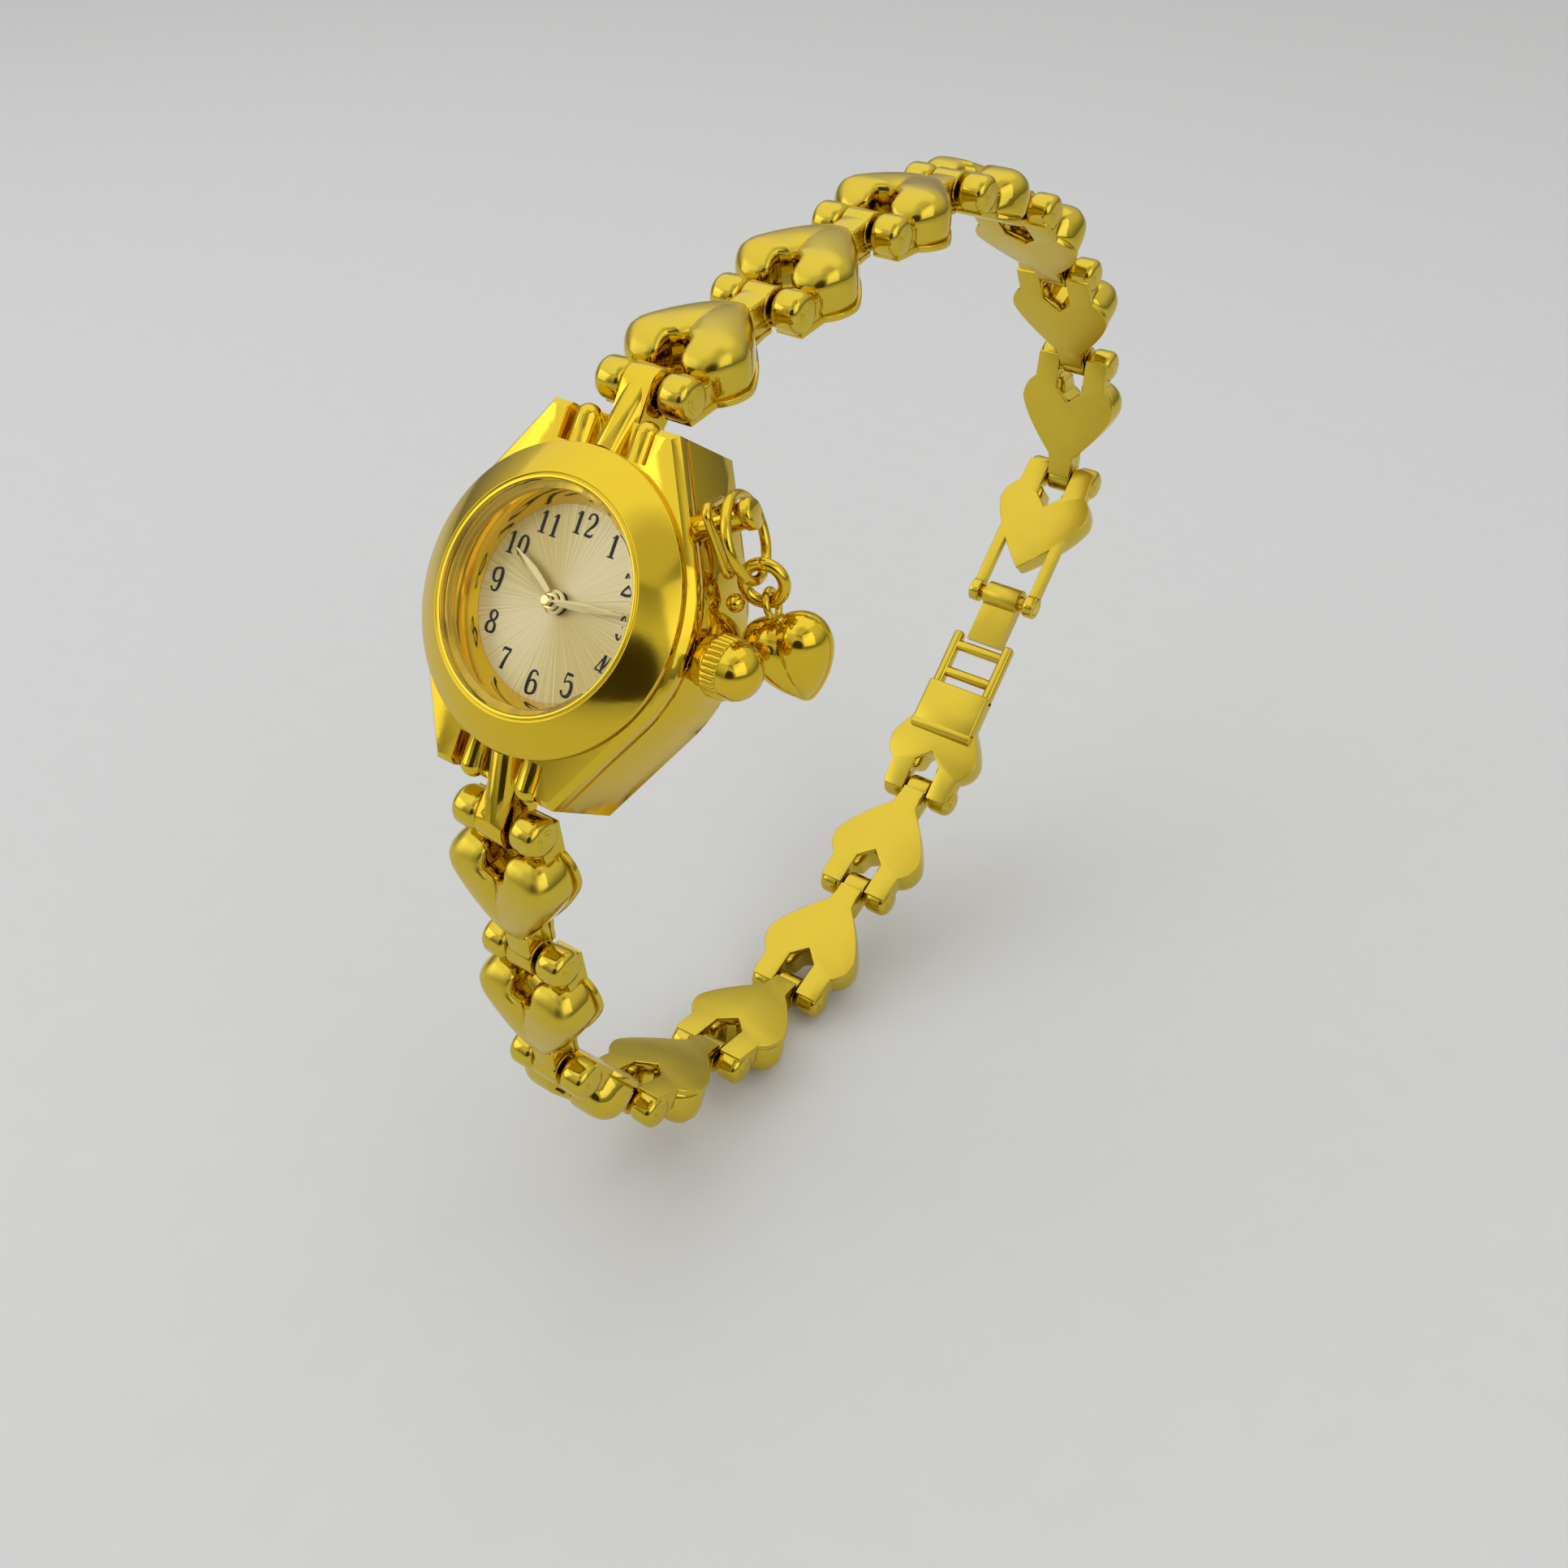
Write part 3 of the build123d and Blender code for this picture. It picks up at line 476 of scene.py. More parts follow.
def plateOutline(size, withNeck, railInner=0.0, railOuter=0.0, railEnd=0.0, cut=math.inf):
    # from the notch round an ear's arm and along the lobe, with a rail or a neck at the tip
    lip = size["plateLip"]
    inner, outer, end = size["armInner"], size["armOuter"], size["armEnd"]
    half = [(0, size["notch"]), (inner, size["notch"] - size["notchRise"]), (inner, end), (outer, end)]
    neck = size["tongueHalf"] if withNeck else 0.0
    for index in range(size["plateSteps"]):
        y = size["rear"] + (size["tip"] + lip - size["rear"]) * (index / size["plateSteps"])
        centre, width, _ = lobeSection(size, y)
        x = centre + width + lip
        if y > size["widest"] and railInner < x < railOuter:
            if half[-1][0] > railOuter:
                half += [(railOuter, y), (railOuter, railEnd), (railInner, railEnd)]
            continue
        if (x > outer or y > size["widest"]) and x > neck and y < cut:
            half.append((x, y))
    if withNeck:
        half.append((neck, size["tip"] - lip))
        half.append((neck, size["pitch"] - size["armInner"] / 2))
    elif cut > size["tip"]:
        half.append((0, size["tip"] + lip))
    left = [(-x, y) for x, y in reversed(half) if x > 0]
    return half + left


def heartPlate(bm, size, outline):
    corners = [bm.verts.new((x, y, size["plateBottom"])) for x, y in outline]
    face = bm.faces.new(corners)
    made = bmesh.ops.extrude_face_region(bm, geom=[face])
    raised = [part for part in made["geom"] if isinstance(part, bmesh.types.BMVert)]
    bmesh.ops.translate(bm, verts=raised, vec=(0, 0, size["plateTop"] - size["plateBottom"]))
    bevelSharp(bm, edgesOf(corners + raised), size["plateRound"], angle=50.0)


def heartShell(bm, size):
    half = bmesh.new()
    lobeShell(half, size)
    bmesh.ops.bisect_plane(half, geom=half.verts[:] + half.edges[:] + half.faces[:], dist=size["cutGap"],
                           plane_co=(0, 0, 0), plane_no=(-1, 0, 0), clear_outer=True)
    bmesh.ops.mirror(half, geom=half.verts[:] + half.edges[:] + half.faces[:], merge_dist=size["seamGap"],
                     axis="X")
    bmesh.ops.remove_doubles(half, verts=half.verts, dist=size["cutGap"])
    bmesh.ops.recalc_face_normals(half, faces=half.faces)
    mesh = bpy.data.meshes.new("half")
    half.to_mesh(mesh)
    half.free()
    bm.from_mesh(mesh)
    bpy.data.meshes.remove(mesh)


def markPolish(bm, shellCount, size):
    # 1 is polished and 0 is satin; the shell's vertices come first
    layer = bm.verts.layers.float.new("polish")
    bm.normal_update()
    for index, vert in enumerate(bm.verts):
        up = vert.normal.z
        flat = max(0.0, min(1.0, (up - size["flatFrom"]) / size["flatRange"]))
        vert[layer] = 1 - flat if index < shellCount else size["fittings"]
        if up < size["satinBelow"]:
            vert[layer] = 0.0


def earPair(bm, size):
    for side in (-1, 1):
        low, high = sorted((side * size["earInner"], side * size["earOuter"]))
        rodAlongX(bm, size["earRadius"], low, high, 0, 0, size["earSteps"], size["earRound"])
        blockPart(bm, low + size["rootLowInset"], high - size["rootHighInset"], size["rootStart"],
                  size["rootEnd"], size["rootBottom"], size["rootTop"], size["rootRound"])
        end = side * size["earOuter"]
        discs = ((size["bossRadius"], size["bossRise"]), (size["pinRadius"], 2 * size["bossRise"]))
        for radius, rise in discs:
            low, high = sorted((end - side * size["bossSunk"], end + side * rise))
            rodAlongX(bm, radius, low, high, 0, 0, size["bossSteps"], size["bossRise"])


def tongue(bm, size):
    half = size["tongueHalf"]
    neck, crest = half - size["neckInset"], half - size["crestInset"]
    rodAlongX(bm, size["knuckleRadius"], -half, half, size["pitch"], 0, size["knuckleSteps"],
              size["knuckleRound"])
    blockPart(bm, -neck, neck, size["tip"] - size["neckSunk"], size["pitch"], size["neckBottom"],
              size["neckTop"], size["neckRound"])
    blockPart(bm, -crest, crest, size["tip"] - size["crestSunk"], size["pitch"] + size["crestPast"],
              size["crestBottom"], size["knuckleTop"], size["crestRound"])


def makeHeart(addParts):
    bm = bmesh.new()
    heartShell(bm, heart)
    bm.verts.index_update()
    shellCount = len(bm.verts)
    earPair(bm, heart)
    addParts(bm, heart)
    markPolish(bm, shellCount, polish)
    return bm


def linkSpace(origin, target, side):
    # from a link's own millimetres to the place between its two hinges
    along = (target - origin).normalized()
    across = Vector((side, 0, 0))
    out = across.cross(along)
    space = Matrix.Identity(4)
    for row in range(3):
        space[row][0], space[row][1], space[row][2] = across[row] * mm, along[row] * mm, out[row] * mm
        space[row][3] = origin[row]
    return space


def linkParts(bm, size):
    heartPlate(bm, size, plateOutline(size, True))
    tongue(bm, size)


linkForm = makeHeart(linkParts)
linkMesh = bpy.data.meshes.new("heartLink")
linkForm.to_mesh(linkMesh)
linkForm.free()
for sideName, side in (("upper", 1), ("lower", -1)):
    middles = [f"{sideName}_hinge_{number}" for number in range(2, 8)]
    hinges = [pivots[joint] for joint in (sideName + "_bracelet", *middles, sideName + "_end_hinge")]
    for number in range(1, 8):
        bm = bmesh.new()
        bm.from_mesh(linkMesh)
        space = linkSpace(hinges[number - 1], hinges[number], side)
        placePiece(f"{sideName}HeartLink{number}", bm, space, f"{sideName}_link_{number}",
                   [f"{sideName}_link_{number}"], heartGold, smoothAngle=30.0)
print("heart links made")


# The two end links with the clasp's rails, bar eyes and ladder

clasp = {
    "depth": 0.8,           # rails, bar and rungs under the hinge line
    "barStation": 11.6,     # from the end link's hinge
    "railGap": 4.2,
    "railWidth": 0.85,
    "railHalf": 0.5,
    "railRound": 0.3,
    "railStart": 4.5,
    "railBottom": -1.2,
    "bridgeStart": 3.4,     # the block under the heart that carries the rails
    "bridgeEnd": 6.0,
    "bridgeInset": 0.1,
    "bridgeBottom": -1.1,
    "bridgeTop": -0.3,
    "bridgeRound": 0.2,
    "eyeRadius": 0.95,
    "eyeBore": 0.57,
    "eyeRound": 0.1,
    "eyeSteps": 36,
    "ladderGap": 3.8,
    "barToRung": 5.0,
    "rungRadius": 0.45,
    "rungInset": 0.3,
    "rungRound": 0.1,
    "rungSteps": 28,
    "rungSpacing": 2.4,
    "ladderTail": 1.15,     # rail past the first rung
    "ladderSunk": 0.8,      # rail inside the box
    "boxStart": 5.25,
    "boxLength": 3.75,
    "boxBottom": -1.8,
    "boxTop": -0.25,
    "boxRound": 0.22,
    "plateSunk": 0.5,       # the heart's plate ends inside the box
    "ridgeRadius": 0.55,
    "ridgeHeight": -1.3,
    "ridgeRound": 0.16,
    "ridgeSteps": 32,
}


def eyeAlongX(bm, size, start, end):
    y, z = size["barStation"], -size["depth"]
    outer, inner = size["eyeRadius"], size["eyeBore"]
    points = [(start, inner), (start, outer), (end, outer), (end, inner)]
    ring = [bm.verts.new((x, y, z + radius)) for x, radius in points]
    edges = [bm.edges.new(pair) for pair in zip(ring, ring[1:] + ring[:1])]
    before = set(bm.verts) - set(ring)
    bmesh.ops.spin(bm, geom=ring + edges, cent=(0, y, z), axis=(1, 0, 0), dvec=(0, 0, 0),
                   angle=2 * math.pi, steps=size["eyeSteps"], use_merge=True)
    rims = edgesOf(vert for vert in bm.verts if vert not in before)
    bevelSharp(bm, rims, size["eyeRound"], angle=60.0)


def railPair(bm, size, gap, start, end, bottom):
    for side in (-1, 1):
        low, high = sorted((side * gap / 2, side * (gap / 2 + size["railWidth"])))
        blockPart(bm, low, high, start, end, bottom, -size["depth"] + size["railHalf"], size["railRound"])


def upperEndParts(bm, size):
    inner, outer = clasp["railGap"] / 2, clasp["railGap"] / 2 + clasp["railWidth"]
    eyeStart = clasp["barStation"] - clasp["eyeRadius"] / 2
    heartPlate(bm, size, plateOutline(size, False, inner, outer, eyeStart))
    bridge = outer - clasp["bridgeInset"]
    blockPart(bm, -bridge, bridge, clasp["bridgeStart"], clasp["bridgeEnd"], clasp["bridgeBottom"],
              clasp["bridgeTop"], clasp["bridgeRound"])
    railPair(bm, clasp, clasp["railGap"], clasp["railStart"], eyeStart, clasp["railBottom"])
    for side in (-1, 1):
        low, high = sorted((side * inner, side * outer))
        eyeAlongX(bm, clasp, low, high)


def lowerEndParts(bm, size):
    half = clasp["ladderGap"] / 2 + clasp["railWidth"]
    boxEnd = clasp["boxStart"] + clasp["boxLength"]
    heartPlate(bm, size, plateOutline(size, False, cut=boxEnd - clasp["plateSunk"]))
    blockPart(bm, -half, half, clasp["boxStart"], boxEnd, clasp["boxBottom"], clasp["boxTop"],
              clasp["boxRound"])
    rodAlongX(bm, clasp["ridgeRadius"], -half, half, clasp["boxStart"], clasp["ridgeHeight"],
              clasp["ridgeSteps"], clasp["ridgeRound"])
    first = claspSpan - clasp["barStation"] - clasp["barToRung"]
    railPair(bm, clasp, clasp["ladderGap"], boxEnd - clasp["ladderSunk"], first + clasp["ladderTail"],
             -clasp["depth"] - clasp["railHalf"])
    rung = half - clasp["rungInset"]
    for station in (first - clasp["rungSpacing"], first):
        rodAlongX(bm, clasp["rungRadius"], -rung, rung, station, -clasp["depth"], clasp["rungSteps"],
                  clasp["rungRound"])


upperEnd, lowerEnd = pivots["upper_end_hinge"], pivots["lower_end_hinge"]
claspSpan = (lowerEnd - upperEnd).length / mm
placePiece("upperEndHeart", makeHeart(upperEndParts), linkSpace(upperEnd, lowerEnd, 1), "upper_end_link",
           ["upper_end_link"], heartGold, smoothAngle=30.0)
placePiece("lowerEndHeart", makeHeart(lowerEndParts), linkSpace(lowerEnd, upperEnd, -1), "lower_end_link",
           ["lower_end_link"], heartGold, smoothAngle=30.0)
print("end links made")


# The case and what it carries, from the CAD pieces with rounded edges

caseGroove = {
    "low": 5.42,            # over the case back's flat face
    "high": 5.68,
    "depth": 0.16,
    "wall": 0.02,
    "cutGap": 1e-7,
    "sideFacing": 0.1,      # only upright sides are grooved
    "endFacing": 0.95,      # the flat ends at 12 and 6 o'clock stay plain
}


def grooveBelt(bm):
    size = caseGroove
    bench = Matrix.Rotation(leanTurn, 3, "X")
    up = bench @ Vector((0, 0, 1))
    for height in (size["low"], size["high"]):
        bmesh.ops.bisect_plane(bm, geom=bm.verts[:] + bm.edges[:] + bm.faces[:], dist=size["cutGap"],
                               plane_co=up * (height * mm), plane_no=up)
    bm.normal_update()
    back = bench.inverted()
    belt = []
    for face in bm.faces:
        middle = back @ face.calc_center_median()
        facing = back @ face.normal
        outside = middle.x * facing.x + middle.y * facing.y > 0
        between = size["low"] * mm < middle.z < size["high"] * mm
        upright = abs(facing.z) < size["sideFacing"]
        if outside and between and upright and abs(facing.y) < size["endFacing"]:
            belt.append(face)
    bmesh.ops.inset_region(bm, faces=belt, thickness=size["wall"] * mm, depth=-size["depth"] * mm,
                           use_boundary=True, use_even_offset=True)


for name, node, body, material, slotName in (
        ("heartPendant", "heart_charm", "heart_charm", polishedGold, "polished_gold"),
        ("charmPost", "charm_post", "case", polishedGold, "polished_gold"),
        ("claspTongue", "clasp_cover", "clasp_cover", satinGold, "satin_gold"),
        ("claspBar", "clasp_pin", "upper_end_link", polishedGold, "polished_gold")):
    copyNode(name, node, body, material)
copyNode("caseShell", "case_body", "case", polishedGold, grooveBelt)
print("case, clasp and charms made")


# Crown: neck, fluted band and ball end in one turned shell

crown = {
    "height": 4.4,          # axis over the case back's flat face
    "start": 8.95,
    "neckRadius": 1.42,
    "neckLength": 0.7,
    "neckChamfer": 0.06,
    "bandGap": 0.02,        # the neck ends just before the band
    "bandRadius": 1.7,
    "bandLength": 1.0,
    "bandRound": 0.14,
    "waistRadius": 1.52,
    "domeRadius": 1.6,
    "fluteCount": 30,
    "fluteDepth": 0.13,
    "flutePower": 0.7,      # under 1 gives narrow grooves between broad lands
    "stepsPerFlute": 10,
    "edgeRings": 4,
    "domeRings": 18,
    "stemRadius": 0.44,
}


def crownStations(size):
    # rings along the crown: station, radius and the share of the flutes' depth there
    bandStart = size["start"] + size["neckLength"]
    bandEnd = bandStart + size["bandLength"]
    soft, neck, band = size["bandRound"], size["neckRadius"], size["bandRadius"]
    chamfer = size["neckChamfer"]
    rows = [(size["start"], size["stemRadius"], 0), (size["start"], neck - chamfer, 0),
            (size["start"] + chamfer, neck, 0), (bandStart - size["bandGap"], neck, 0)]
    for index in range(size["edgeRings"] + 1):
        turn = math.pi / 2 * index / size["edgeRings"]
        radius = band - soft * (1 - math.sin(turn))
        rows.append((bandStart + soft * (1 - math.cos(turn)), radius, math.sin(turn) ** 2))
    for index in range(size["edgeRings"] + 1):
        turn = math.pi / 2 * index / size["edgeRings"]
        radius = band - soft * (1 - math.cos(turn))
        rows.append((bandEnd - soft * (1 - math.sin(turn)), radius, math.cos(turn) ** 2))
    dome = size["domeRadius"]
    first = math.asin(min(1.0, size["waistRadius"] / dome))
    for index in range(size["domeRings"]):
        turn = first * (1 - index / size["domeRings"])
        rows.append((bandEnd + dome * math.cos(turn), dome * math.sin(turn), 0))
    return rows, bandEnd + dome


def crownShell(bm, size):
    rows, tip = crownStations(size)
    steps = size["fluteCount"] * size["stepsPerFlute"]
    rings = []
    for x, radius, share in rows:
        ring = []
        for step in range(steps):
            groove = abs(math.sin(math.pi * step / size["stepsPerFlute"]))
            depth = size["fluteDepth"] * share * (1 - groove ** size["flutePower"])
            angle = 2 * math.pi * step / steps
            reach = radius - depth
            ring.append(bm.verts.new((x, reach * math.cos(angle), size["height"] + reach * math.sin(angle))))
        rings.append(ring)
    for low, high in zip(rings, rings[1:]):
        for step in range(steps):
            after = (step + 1) % steps
            bm.faces.new((low[step], low[after], high[after], high[step]))
    top = bm.verts.new((tip, 0, size["height"]))
    for step in range(steps):
        bm.faces.new((rings[-1][step], rings[-1][(step + 1) % steps], top))
    bm.faces.new(rings[0])


bm = bmesh.new()
crownShell(bm, crown)
placePiece("crownKnob", bm, caseSpace, "crown", ["crown"], polishedGold, smoothAngle=50.0)
print("crown made")


# Bezel, inner ring, crystal and case back, each turned from a profile of radius and height

bezel = {
    "radius": 8.4,
    "foot": 6.62,           # just over the case's front face
    "edgeTop": 7.0,
    "top": 8.1,
    "rimOuter": 6.55,
    "rimGroove": 6.42,      # a fine line turned round the crystal
    "grooveSlope": 0.02,
    "rimInner": 6.2,
    "grooveDepth": 0.07,
    "seat": 7.3,
    "lipRadius": 5.75,
    "lipBase": 7.15,
    "collarInner": 6.05,
    "collarBase": 5.84,
    "collarOuter": 6.5,
    "edgeRound": 0.07,
}
bezelProfile = [
    (bezel["radius"], bezel["foot"]), (bezel["radius"], bezel["edgeTop"]),
    (bezel["rimOuter"], bezel["top"]), (bezel["rimGroove"], bezel["top"] - bezel["grooveDepth"]),
    (bezel["rimGroove"] - bezel["grooveSlope"], bezel["top"]), (bezel["rimInner"], bezel["top"]),
    (bezel["rimInner"], bezel["seat"]), (bezel["lipRadius"], bezel["seat"]),
    (bezel["lipRadius"], bezel["lipBase"]), (bezel["collarInner"], bezel["lipBase"]),
    (bezel["collarInner"], bezel["collarBase"]), (bezel["collarOuter"], bezel["collarBase"]),
    (bezel["collarOuter"], bezel["foot"]),
]

rehaut = {"foot": 5.82, "head": 7.13, "footRadius": 5.2, "headRadius": 5.75, "outer": 6.0, "edgeRound": 0.03}
rehautProfile = [
    (rehaut["outer"], rehaut["foot"]), (rehaut["footRadius"], rehaut["foot"]),
    (rehaut["headRadius"], rehaut["head"]), (rehaut["outer"], rehaut["head"]),
]

crystal = {"radius": 6.18, "foot": 7.5, "head": 8.2, "edgeRound": 0.14}
crystalProfile = [
    (0, crystal["foot"]), (crystal["radius"], crystal["foot"]), (crystal["radius"], crystal["head"]),
    (0, crystal["head"]),
]

caseBack = {
    "radius": 7.5,
    "thickness": 1.0,
    "chamfer": 0.4,
    "land": 5.1,
    "dish": 0.07,
    "groove": 6.6,          # a fine ring turned near the rim
    "grooveWidth": 0.14,
    "grooveSlope": 0.03,
    "collarOuter": 7.08,
    "collarInner": 6.7,
    "collarTop": 1.5,
    "edgeRound": 0.05,
}
caseBackProfile = [
    (0, caseBack["dish"]), (caseBack["land"], caseBack["dish"]), (caseBack["land"] + caseBack["dish"], 0),
    (caseBack["groove"], 0), (caseBack["groove"] + caseBack["grooveSlope"], caseBack["dish"]),
    (caseBack["groove"] + caseBack["grooveWidth"], caseBack["dish"]),
    (caseBack["groove"] + caseBack["grooveWidth"] + caseBack["grooveSlope"], 0),
    (caseBack["radius"] - caseBack["chamfer"], 0), (caseBack["radius"], caseBack["chamfer"]),
    (caseBack["radius"], caseBack["thickness"]), (caseBack["collarOuter"], caseBack["thickness"]),
    (caseBack["collarOuter"], caseBack["collarTop"]), (caseBack["collarInner"], caseBack["collarTop"]),
    (caseBack["collarInner"], caseBack["thickness"]), (0, caseBack["thickness"]),
]

for name, profile, closed, edgeRound, node, material, slotName in (
        ("bezelRing", bezelProfile, True, bezel["edgeRound"], "bezel_ring", brushedGold, "polished_gold"),
        ("rehautCone", rehautProfile, True, rehaut["edgeRound"], "rehaut_ring", innerGold, "polished_gold"),
        ("caseBackDisc", caseBackProfile, False, caseBack["edgeRound"], "case_back", backSteel,
         "case_back_steel"),
        ("crystalGlass", crystalProfile, False, crystal["edgeRound"], "crystal", clearCrystal, "crystal")):
    bm = bmesh.new()
    turnProfile(bm, profile, closed)
    bevelSharp(bm, list(bm.edges), edgeRound)
    placePiece(name, bm, caseSpace, "case", [node], material, smoothAngle=40.0)
print("bezel, rehaut, back and crystal made")


# Hands, each a leaf with a ridge along it and a round hub. Angles run clockwise from 12, and
# widestAt is a share of the whole length

hands = {
    "hour": {"angle": 300, "height": 6.12, "length": 4.10, "tail": 0.0, "base": 0.13, "widest": 0.30,
             "widestAt": 0.52, "ridge": 0.11, "hubRadius": 0.66, "hubRise": 0.2},
    "minute": {"angle": 82, "height": 6.44, "length": 4.70, "tail": 0.0, "base": 0.11, "widest": 0.23,
               "widestAt": 0.42, "ridge": 0.09, "hubRadius": 0.5, "hubRise": 0.2},
    "second": {"angle": 80, "height": 6.76, "length": 4.90, "tail": 1.50, "base": 0.055, "widest": 0.06,
               "widestAt": 0.3, "ridge": 0.03, "hubRadius": 0.3, "hubRise": 0.24},
}
handForm = {
    "thickness": 0.12,
    "stations": 24,
    "taper": 1.2,
    "pointHalf": 0.012,     # half the width left at the point
    "hubSunk": 0.02,
    "hubSteps": 48,
    "shoulderShare": 0.6,   # of the hub's height
    "faceShare": 0.78,      # of its radius
}


def leafWidth(size, share):
    if share < size["widestAt"]:
        rise = math.sin(share / size["widestAt"] * math.pi / 2)
        return size["base"] + (size["widest"] - size["base"]) * rise
    fall = (share - size["widestAt"]) / (1 - size["widestAt"])
    return size["widest"] * (1 - fall ** handForm["taper"]) + handForm["pointHalf"]


def leafHand(bm, size):
    rows = []
    top = handForm["thickness"]
    for index in range(handForm["stations"] + 1):
        share = index / handForm["stations"]
        y = -size["tail"] + (size["length"] + size["tail"]) * share
        half = leafWidth(size, share)
        ridge = top + size["ridge"] * half / size["widest"]
        section = ((-half, y, 0), (-half, y, top), (0, y, ridge), (half, y, top), (half, y, 0))
        rows.append([bm.verts.new(point) for point in section])
    for near, far in zip(rows, rows[1:]):
        for corner in range(len(near)):
            after = (corner + 1) % len(near)
            bm.faces.new((near[corner], near[after], far[after], far[corner]))
    bm.faces.new(rows[0])
    bm.faces.new(rows[-1])


for handName, size in hands.items():
    bm = bmesh.new()
    leafHand(bm, size)
    hub, rise, foot = size["hubRadius"], size["hubRise"], -handForm["hubSunk"]
    hubProfile = [(0, foot), (hub, foot), (hub, rise * handForm["shoulderShare"]),
                  (hub * handForm["faceShare"], rise), (0, rise)]
    turnProfile(bm, hubProfile, False, handForm["hubSteps"])
    turned = (Matrix.Translation((0, 0, size["height"]))
              @ Matrix.Rotation(-math.radians(size["angle"]), 4, "Z"))
    placePiece(handName + "Leaf", bm, caseSpace @ turned, handName + "_hand", [handName + "_hand"],
               paleGold, smoothAngle=20.0)
print("hands made")


# Numerals on the dial

numerals = {
    "ring": 4.31,
    "height": 1.24,
    "digitWidth": 0.52,     # this and the gap are parts of the height
    "gap": 0.10,
    "weight": 1.2,
    "top": 5.815,
    "depthScale": 0.15,     # flattens the round strokes
    "strokeRounding": 2,
    "strokeSteps": 6,
    "strokeOrder": 3,
}
# Strokes of the digits: closed or not, then points across, up and half width, in parts of the height
digitStrokes = {
    "0": [
        (True, [(.26, .98, .025), (.46, .8, .07), (.46, .2, .07), (.26, .02, .025), (.05, .2, .07),
                (.05, .8, .07)]),
    ],
    "1": [
        (False, [(.26, .02, .07), (.26, .5, .07), (.26, .97, .07)]),
        (False, [(.26, .96, .03), (.18, .86, .03), (.08, .8, .02)]),
        (False, [(.08, .02, .025), (.26, .02, .03), (.44, .02, .025)]),
    ],
    "2": [
        (False, [(.09, .72, .06), (.06, .93, .03), (.3, 1.04, .03), (.5, .86, .07), (.44, .56, .06),
                (.22, .34, .04), (.08, .06, .03)]),
        (False, [(.07, .06, .05), (.26, .06, .055), (.45, .06, .05), (.47, .2, .02)]),
    ],
    "3": [
        (False, [(.07, .78, .055), (.08, 1, .03), (.44, 1.02, .04), (.46, .62, .07),
                (.18, .54, .025)]),
        (False, [(.18, .54, .025), (.54, .54, .06), (.5, 0, .075), (.08, -.02, .03),
                (.05, .22, .055)]),
    ],
    "4": [
        (False, [(.36, .02, .065), (.36, .5, .065), (.36, .97, .065)]),
        (False, [(.36, .96, .03), (.2, .62, .025), (.03, .29, .025)]),
        (False, [(.03, .28, .03), (.26, .28, .03), (.5, .28, .03)]),
        (False, [(.22, .02, .025), (.36, .02, .03), (.5, .02, .025)]),
    ],
    "5": [
        (False, [(.1, .94, .05), (.26, .94, .055), (.43, .94, .05)]),
        (False, [(.1, .94, .03), (.09, .74, .025), (.08, .54, .025)]),
        (False, [(.08, .54, .025), (.26, .7, .03), (.52, .58, .07), (.5, 0, .075), (.1, -.02, .03),
                (.06, .2, .055)]),
    ],
    "6": [
        (False, [(.43, .84, .045), (.4, 1, .03), (.08, .98, .05), (.04, .45, .08), (.06, 0, .07),
                (.3, -.02, .03), (.52, .12, .07), (.46, .58, .06), (.16, .6, .03), (.1, .42, .03)]),
    ],
    "7": [
        (False, [(.06, .93, .055), (.26, .93, .055), (.46, .93, .055)]),
        (False, [(.05, .94, .03), (.05, .86, .025), (.05, .77, .02)]),
        (False, [(.45, .92, .03), (.24, .54, .05), (.21, .03, .08)]),
    ],
    "8": [
        (True, [(.26, 1, .03), (.45, .88, .055), (.4, .62, .05), (.26, .53, .03), (.1, .64, .06),
                (.07, .88, .06)]),
        (True, [(.26, .55, .03), (.48, .4, .06), (.48, .08, .07), (.26, 0, .03), (.04, .08, .07),
                (.04, .4, .06)]),
    ],
}
digitStrokes["9"] = [(cyclic, [(numerals["digitWidth"] - x, 1 - y, r) for x, y, r in points])
                     for cyclic, points in digitStrokes["6"]]


def digitMesh(bm, digit, left):
    curve = bpy.data.curves.new("digit", "CURVE")
    curve.dimensions = "3D"
    curve.bevel_depth = 1.0
    curve.bevel_resolution = numerals["strokeRounding"]
    curve.use_fill_caps = True
    curve.resolution_u = numerals["strokeSteps"]
    for cyclic, points in digitStrokes[digit]:
        spline = curve.splines.new("NURBS")
        spline.points.add(len(points) - 1)
        for point, (x, y, r) in zip(spline.points, points):
            point.co = (left + x, y, 0, 1)
            point.radius = r * numerals["weight"]
        spline.use_cyclic_u = cyclic
        spline.order_u = numerals["strokeOrder"]
        spline.use_endpoint_u = not cyclic
    carrier = bpy.data.objects.new("digit", curve)
    bpy.context.scene.collection.objects.link(carrier)
    bpy.context.view_layer.update()
    mesh = bpy.data.meshes.new_from_object(carrier.evaluated_get(bpy.context.evaluated_depsgraph_get()))
    bm.from_mesh(mesh)
    bpy.data.objects.remove(carrier)
    bpy.data.curves.remove(curve)
    bpy.data.meshes.remove(mesh)


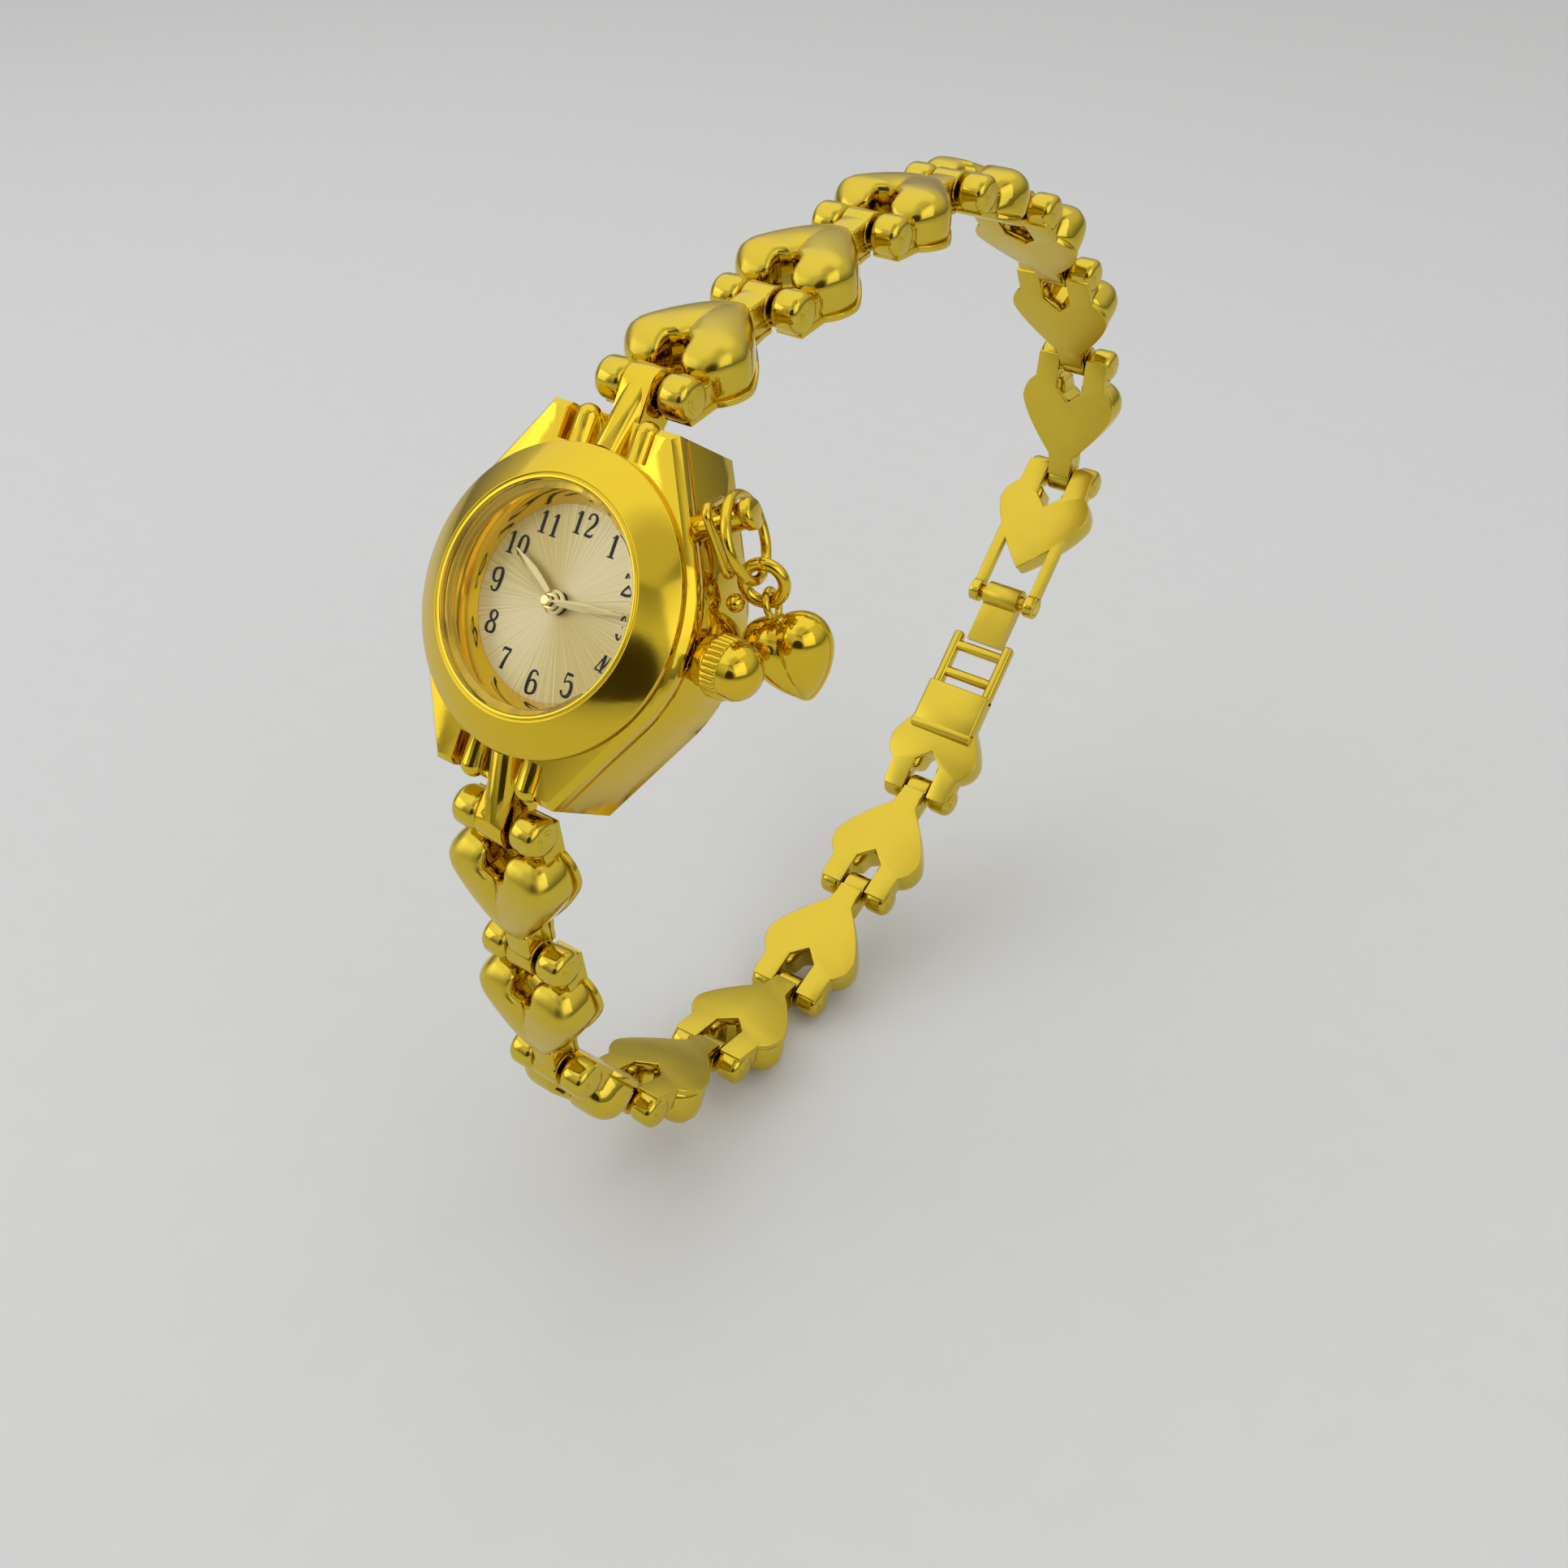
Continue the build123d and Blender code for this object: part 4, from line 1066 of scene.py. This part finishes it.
def numeralPart(bm, hour):
    text = str(hour)
    part = bmesh.new()
    step = numerals["digitWidth"] + numerals["gap"]
    for index, digit in enumerate(text):
        digitMesh(part, digit, (index - len(text) / 2) * step + numerals["gap"] / 2)
    angle = math.radians(90 - 30 * hour)
    ring = numerals["ring"]
    place = Matrix.Translation((ring * math.cos(angle), ring * math.sin(angle), numerals["top"]))
    size = Matrix.Diagonal((numerals["height"], numerals["height"], numerals["depthScale"], 1))
    centred = Matrix.Translation((0, -0.5, 0))
    bmesh.ops.transform(part, matrix=place @ size @ centred, verts=part.verts)
    mesh = bpy.data.meshes.new("numeral")
    part.to_mesh(mesh)
    part.free()
    bm.from_mesh(mesh)
    bpy.data.meshes.remove(mesh)


bm = bmesh.new()
for hour in range(1, 13):
    numeralPart(bm, hour)
placePiece("dialNumerals", bm, caseSpace, "case", [], inkBlack, smoothAngle=50.0)
print("numerals made")


# Finishes of the CAD pieces that stay

nodeFinishes = {
    "dial": champagneDial,
    "hour_wheel": polishedGold, "cannon_pinion": polishedGold, "seconds_shaft": polishedGold,
    "charm_ring": polishedGold, "jump_ring": polishedGold,
    "wire_bail": polishedGold, "bead_charm": polishedGold, "crown_stem": steelGrey,
    "sliding_clutch": steelGrey, "crown_tube": steelGrey, "crown_gasket": rubberBlack,
    "case_back_gasket": rubberBlack, "crystal_gasket": clearNylon, "movement_plate": movementWhite,
    "movement_holder": movementWhite, "circuit_board": boardGreen, "motor_coil": coilCopper,
    "battery_cell": cellSteel, "battery_strap": cellSteel,
}
for node, material in nodeFinishes.items():
    holder = frame["nodes"][node]
    if not holder.material_slots:
        holder.data.materials.append(material)
    for place in holder.material_slots:
        place.link = "OBJECT"
        place.material = material
print("CAD pieces finished")


# Floor, light and camera

setting = {
    "middle": (0, 0.02, 0),     # under the watch; the lamps aim here
    "floorSize": 6.0,
    "floorDrop": 0.0004,
    "floorColour": (0.74, 0.745, 0.75),
    "skyColour": (0.455, 0.452, 0.44),      # what the camera sees, as pale as the far floor
    # What the gold mirrors: height from straight down to straight up, then brightness
    "skyLevels": ((0.30, 0.14), (0.50, 0.18), (0.60, 0.36), (0.72, 0.66), (0.92, 0.80)),
    "skyBlue": 0.98,
    # Tones in the sky that round gold mirrors: which way, the soft edge, the colour
    "patches": (
        ((0.306, -0.932, 0.194), (0.928, 0.952), (0.045, 0.035, 0.03)),
        ((0.27, -0.40, 0.876), (0.87, 0.97), (0.30, 0.29, 0.27)),
    ),
}
lowest = cadBox[0][2]
bm = bmesh.new()
bmesh.ops.create_grid(bm, x_segments=1, y_segments=1, size=setting["floorSize"])
bmesh.ops.translate(bm, verts=bm.verts, vec=(*setting["middle"][:2], lowest - setting["floorDrop"]))
paleFloor = plainFinish("paleFloor", setting["floorColour"], roughness=0.8, grain=300.0, shade=0.97)
floor = objectFrom("floor", bm, paleFloor)


def gradedSky(nodes, links, direction):
    split = nodes.new("ShaderNodeSeparateXYZ")
    links.new(direction, split.inputs["Vector"])
    sky = nodes.new("ShaderNodeValToRGB")
    levels = setting["skyLevels"]
    for position, level in levels:
        if position in (levels[0][0], levels[-1][0]):
            element = sky.color_ramp.elements[0 if position == levels[0][0] else -1]
            element.position = position
        else:
            element = sky.color_ramp.elements.new(position)
        element.color = (level, level, level * setting["skyBlue"], 1)
    links.new(spread(nodes, links, split.outputs["Z"], 0.0, 1.0, -1.0, 1.0), sky.inputs["Fac"])
    return sky.outputs["Color"]


def skyPatch(nodes, links, direction, colour, toward, edge, tone):
    nearness = nodes.new("ShaderNodeVectorMath")
    nearness.operation = "DOT_PRODUCT"
    nearness.inputs[1].default_value = toward
    links.new(direction, nearness.inputs[0])
    shade = nodes.new("ShaderNodeMix")
    shade.data_type = "RGBA"
    shade.inputs["B"].default_value = (*tone, 1)
    links.new(spread(nodes, links, nearness.outputs["Value"], 0.0, 1.0, *edge), shade.inputs["Factor"])
    links.new(colour, shade.inputs["A"])
    return shade.outputs["Result"]


def studioWorld():
    world = bpy.data.worlds.new("studio")
    world.use_nodes = True
    nodes, links = world.node_tree.nodes, world.node_tree.links
    direction = nodes.new("ShaderNodeTexCoord").outputs["Generated"]
    colour = gradedSky(nodes, links, direction)
    for toward, edge, tone in setting["patches"]:
        colour = skyPatch(nodes, links, direction, colour, toward, edge, tone)
    background = nodes["Background"]
    links.new(colour, background.inputs["Color"])
    background.inputs["Strength"].default_value = 1.0
    seen = nodes.new("ShaderNodeBackground")
    seen.inputs["Color"].default_value = (*setting["skyColour"], 1)
    seen.inputs["Strength"].default_value = 1.0
    path = nodes.new("ShaderNodeLightPath")
    direct = mathOn(nodes, links, "MAXIMUM", path.outputs["Is Camera Ray"],
                    path.outputs["Is Transmission Ray"])
    mixer = nodes.new("ShaderNodeMixShader")
    links.new(direct, mixer.inputs["Fac"])
    links.new(background.outputs["Background"], mixer.inputs[1])
    links.new(seen.outputs["Background"], mixer.inputs[2])
    links.new(mixer.outputs["Shader"], nodes["World Output"].inputs["Surface"])
    return world


bpy.context.scene.world = studioWorld()

lamps = {
    "overhead": {"place": (-0.10, 0.02, 0.30), "size": 0.60, "watts": 0.40},
    "window": {"place": (0.30, -0.12, 0.20), "size": 0.30, "watts": 0.20},
    "left": {"place": (-0.28, -0.22, 0.10), "size": 0.20, "watts": 0.13},
}
for name, lamp in lamps.items():
    light = bpy.data.lights.new(name, "AREA")
    light.shape = "SQUARE"
    light.size = lamp["size"]
    light.energy = lamp["watts"]
    holder = bpy.data.objects.new(name, light)
    bpy.context.scene.collection.objects.link(holder)
    holder.location = lamp["place"]
    aim = Vector(setting["middle"]) - Vector(lamp["place"])
    holder.rotation_euler = aim.to_track_quat("-Z", "Y").to_euler()

cameraSetting = {
    "place": (0.05205, -0.05752, 0.04537),
    "azimuth": 35.34,
    "elevation": 36.35,
    "roll": 0.43,
    "lens": 36.4,
    "sensor": 36.0,
    "clipStart": 0.001,
}

camera = bpy.data.objects.new("photoView", bpy.data.cameras.new("photoView"))
bpy.context.scene.collection.objects.link(camera)
turned, raised = math.radians(cameraSetting["azimuth"]), math.radians(cameraSetting["elevation"])
back = Vector((math.sin(turned) * math.cos(raised), -math.cos(turned) * math.cos(raised), math.sin(raised)))
camera.rotation_euler = (back.to_track_quat("Z", "Y").to_matrix().to_4x4()
                         @ Matrix.Rotation(math.radians(cameraSetting["roll"]), 4, "Z")).to_euler()
camera.location = cameraSetting["place"]
camera.data.lens = cameraSetting["lens"]
camera.data.sensor_width = cameraSetting["sensor"]
camera.data.clip_start = cameraSetting["clipStart"]
bpy.context.scene.camera = camera
bpy.context.scene.view_settings.view_transform = "Standard"
print("stage set")
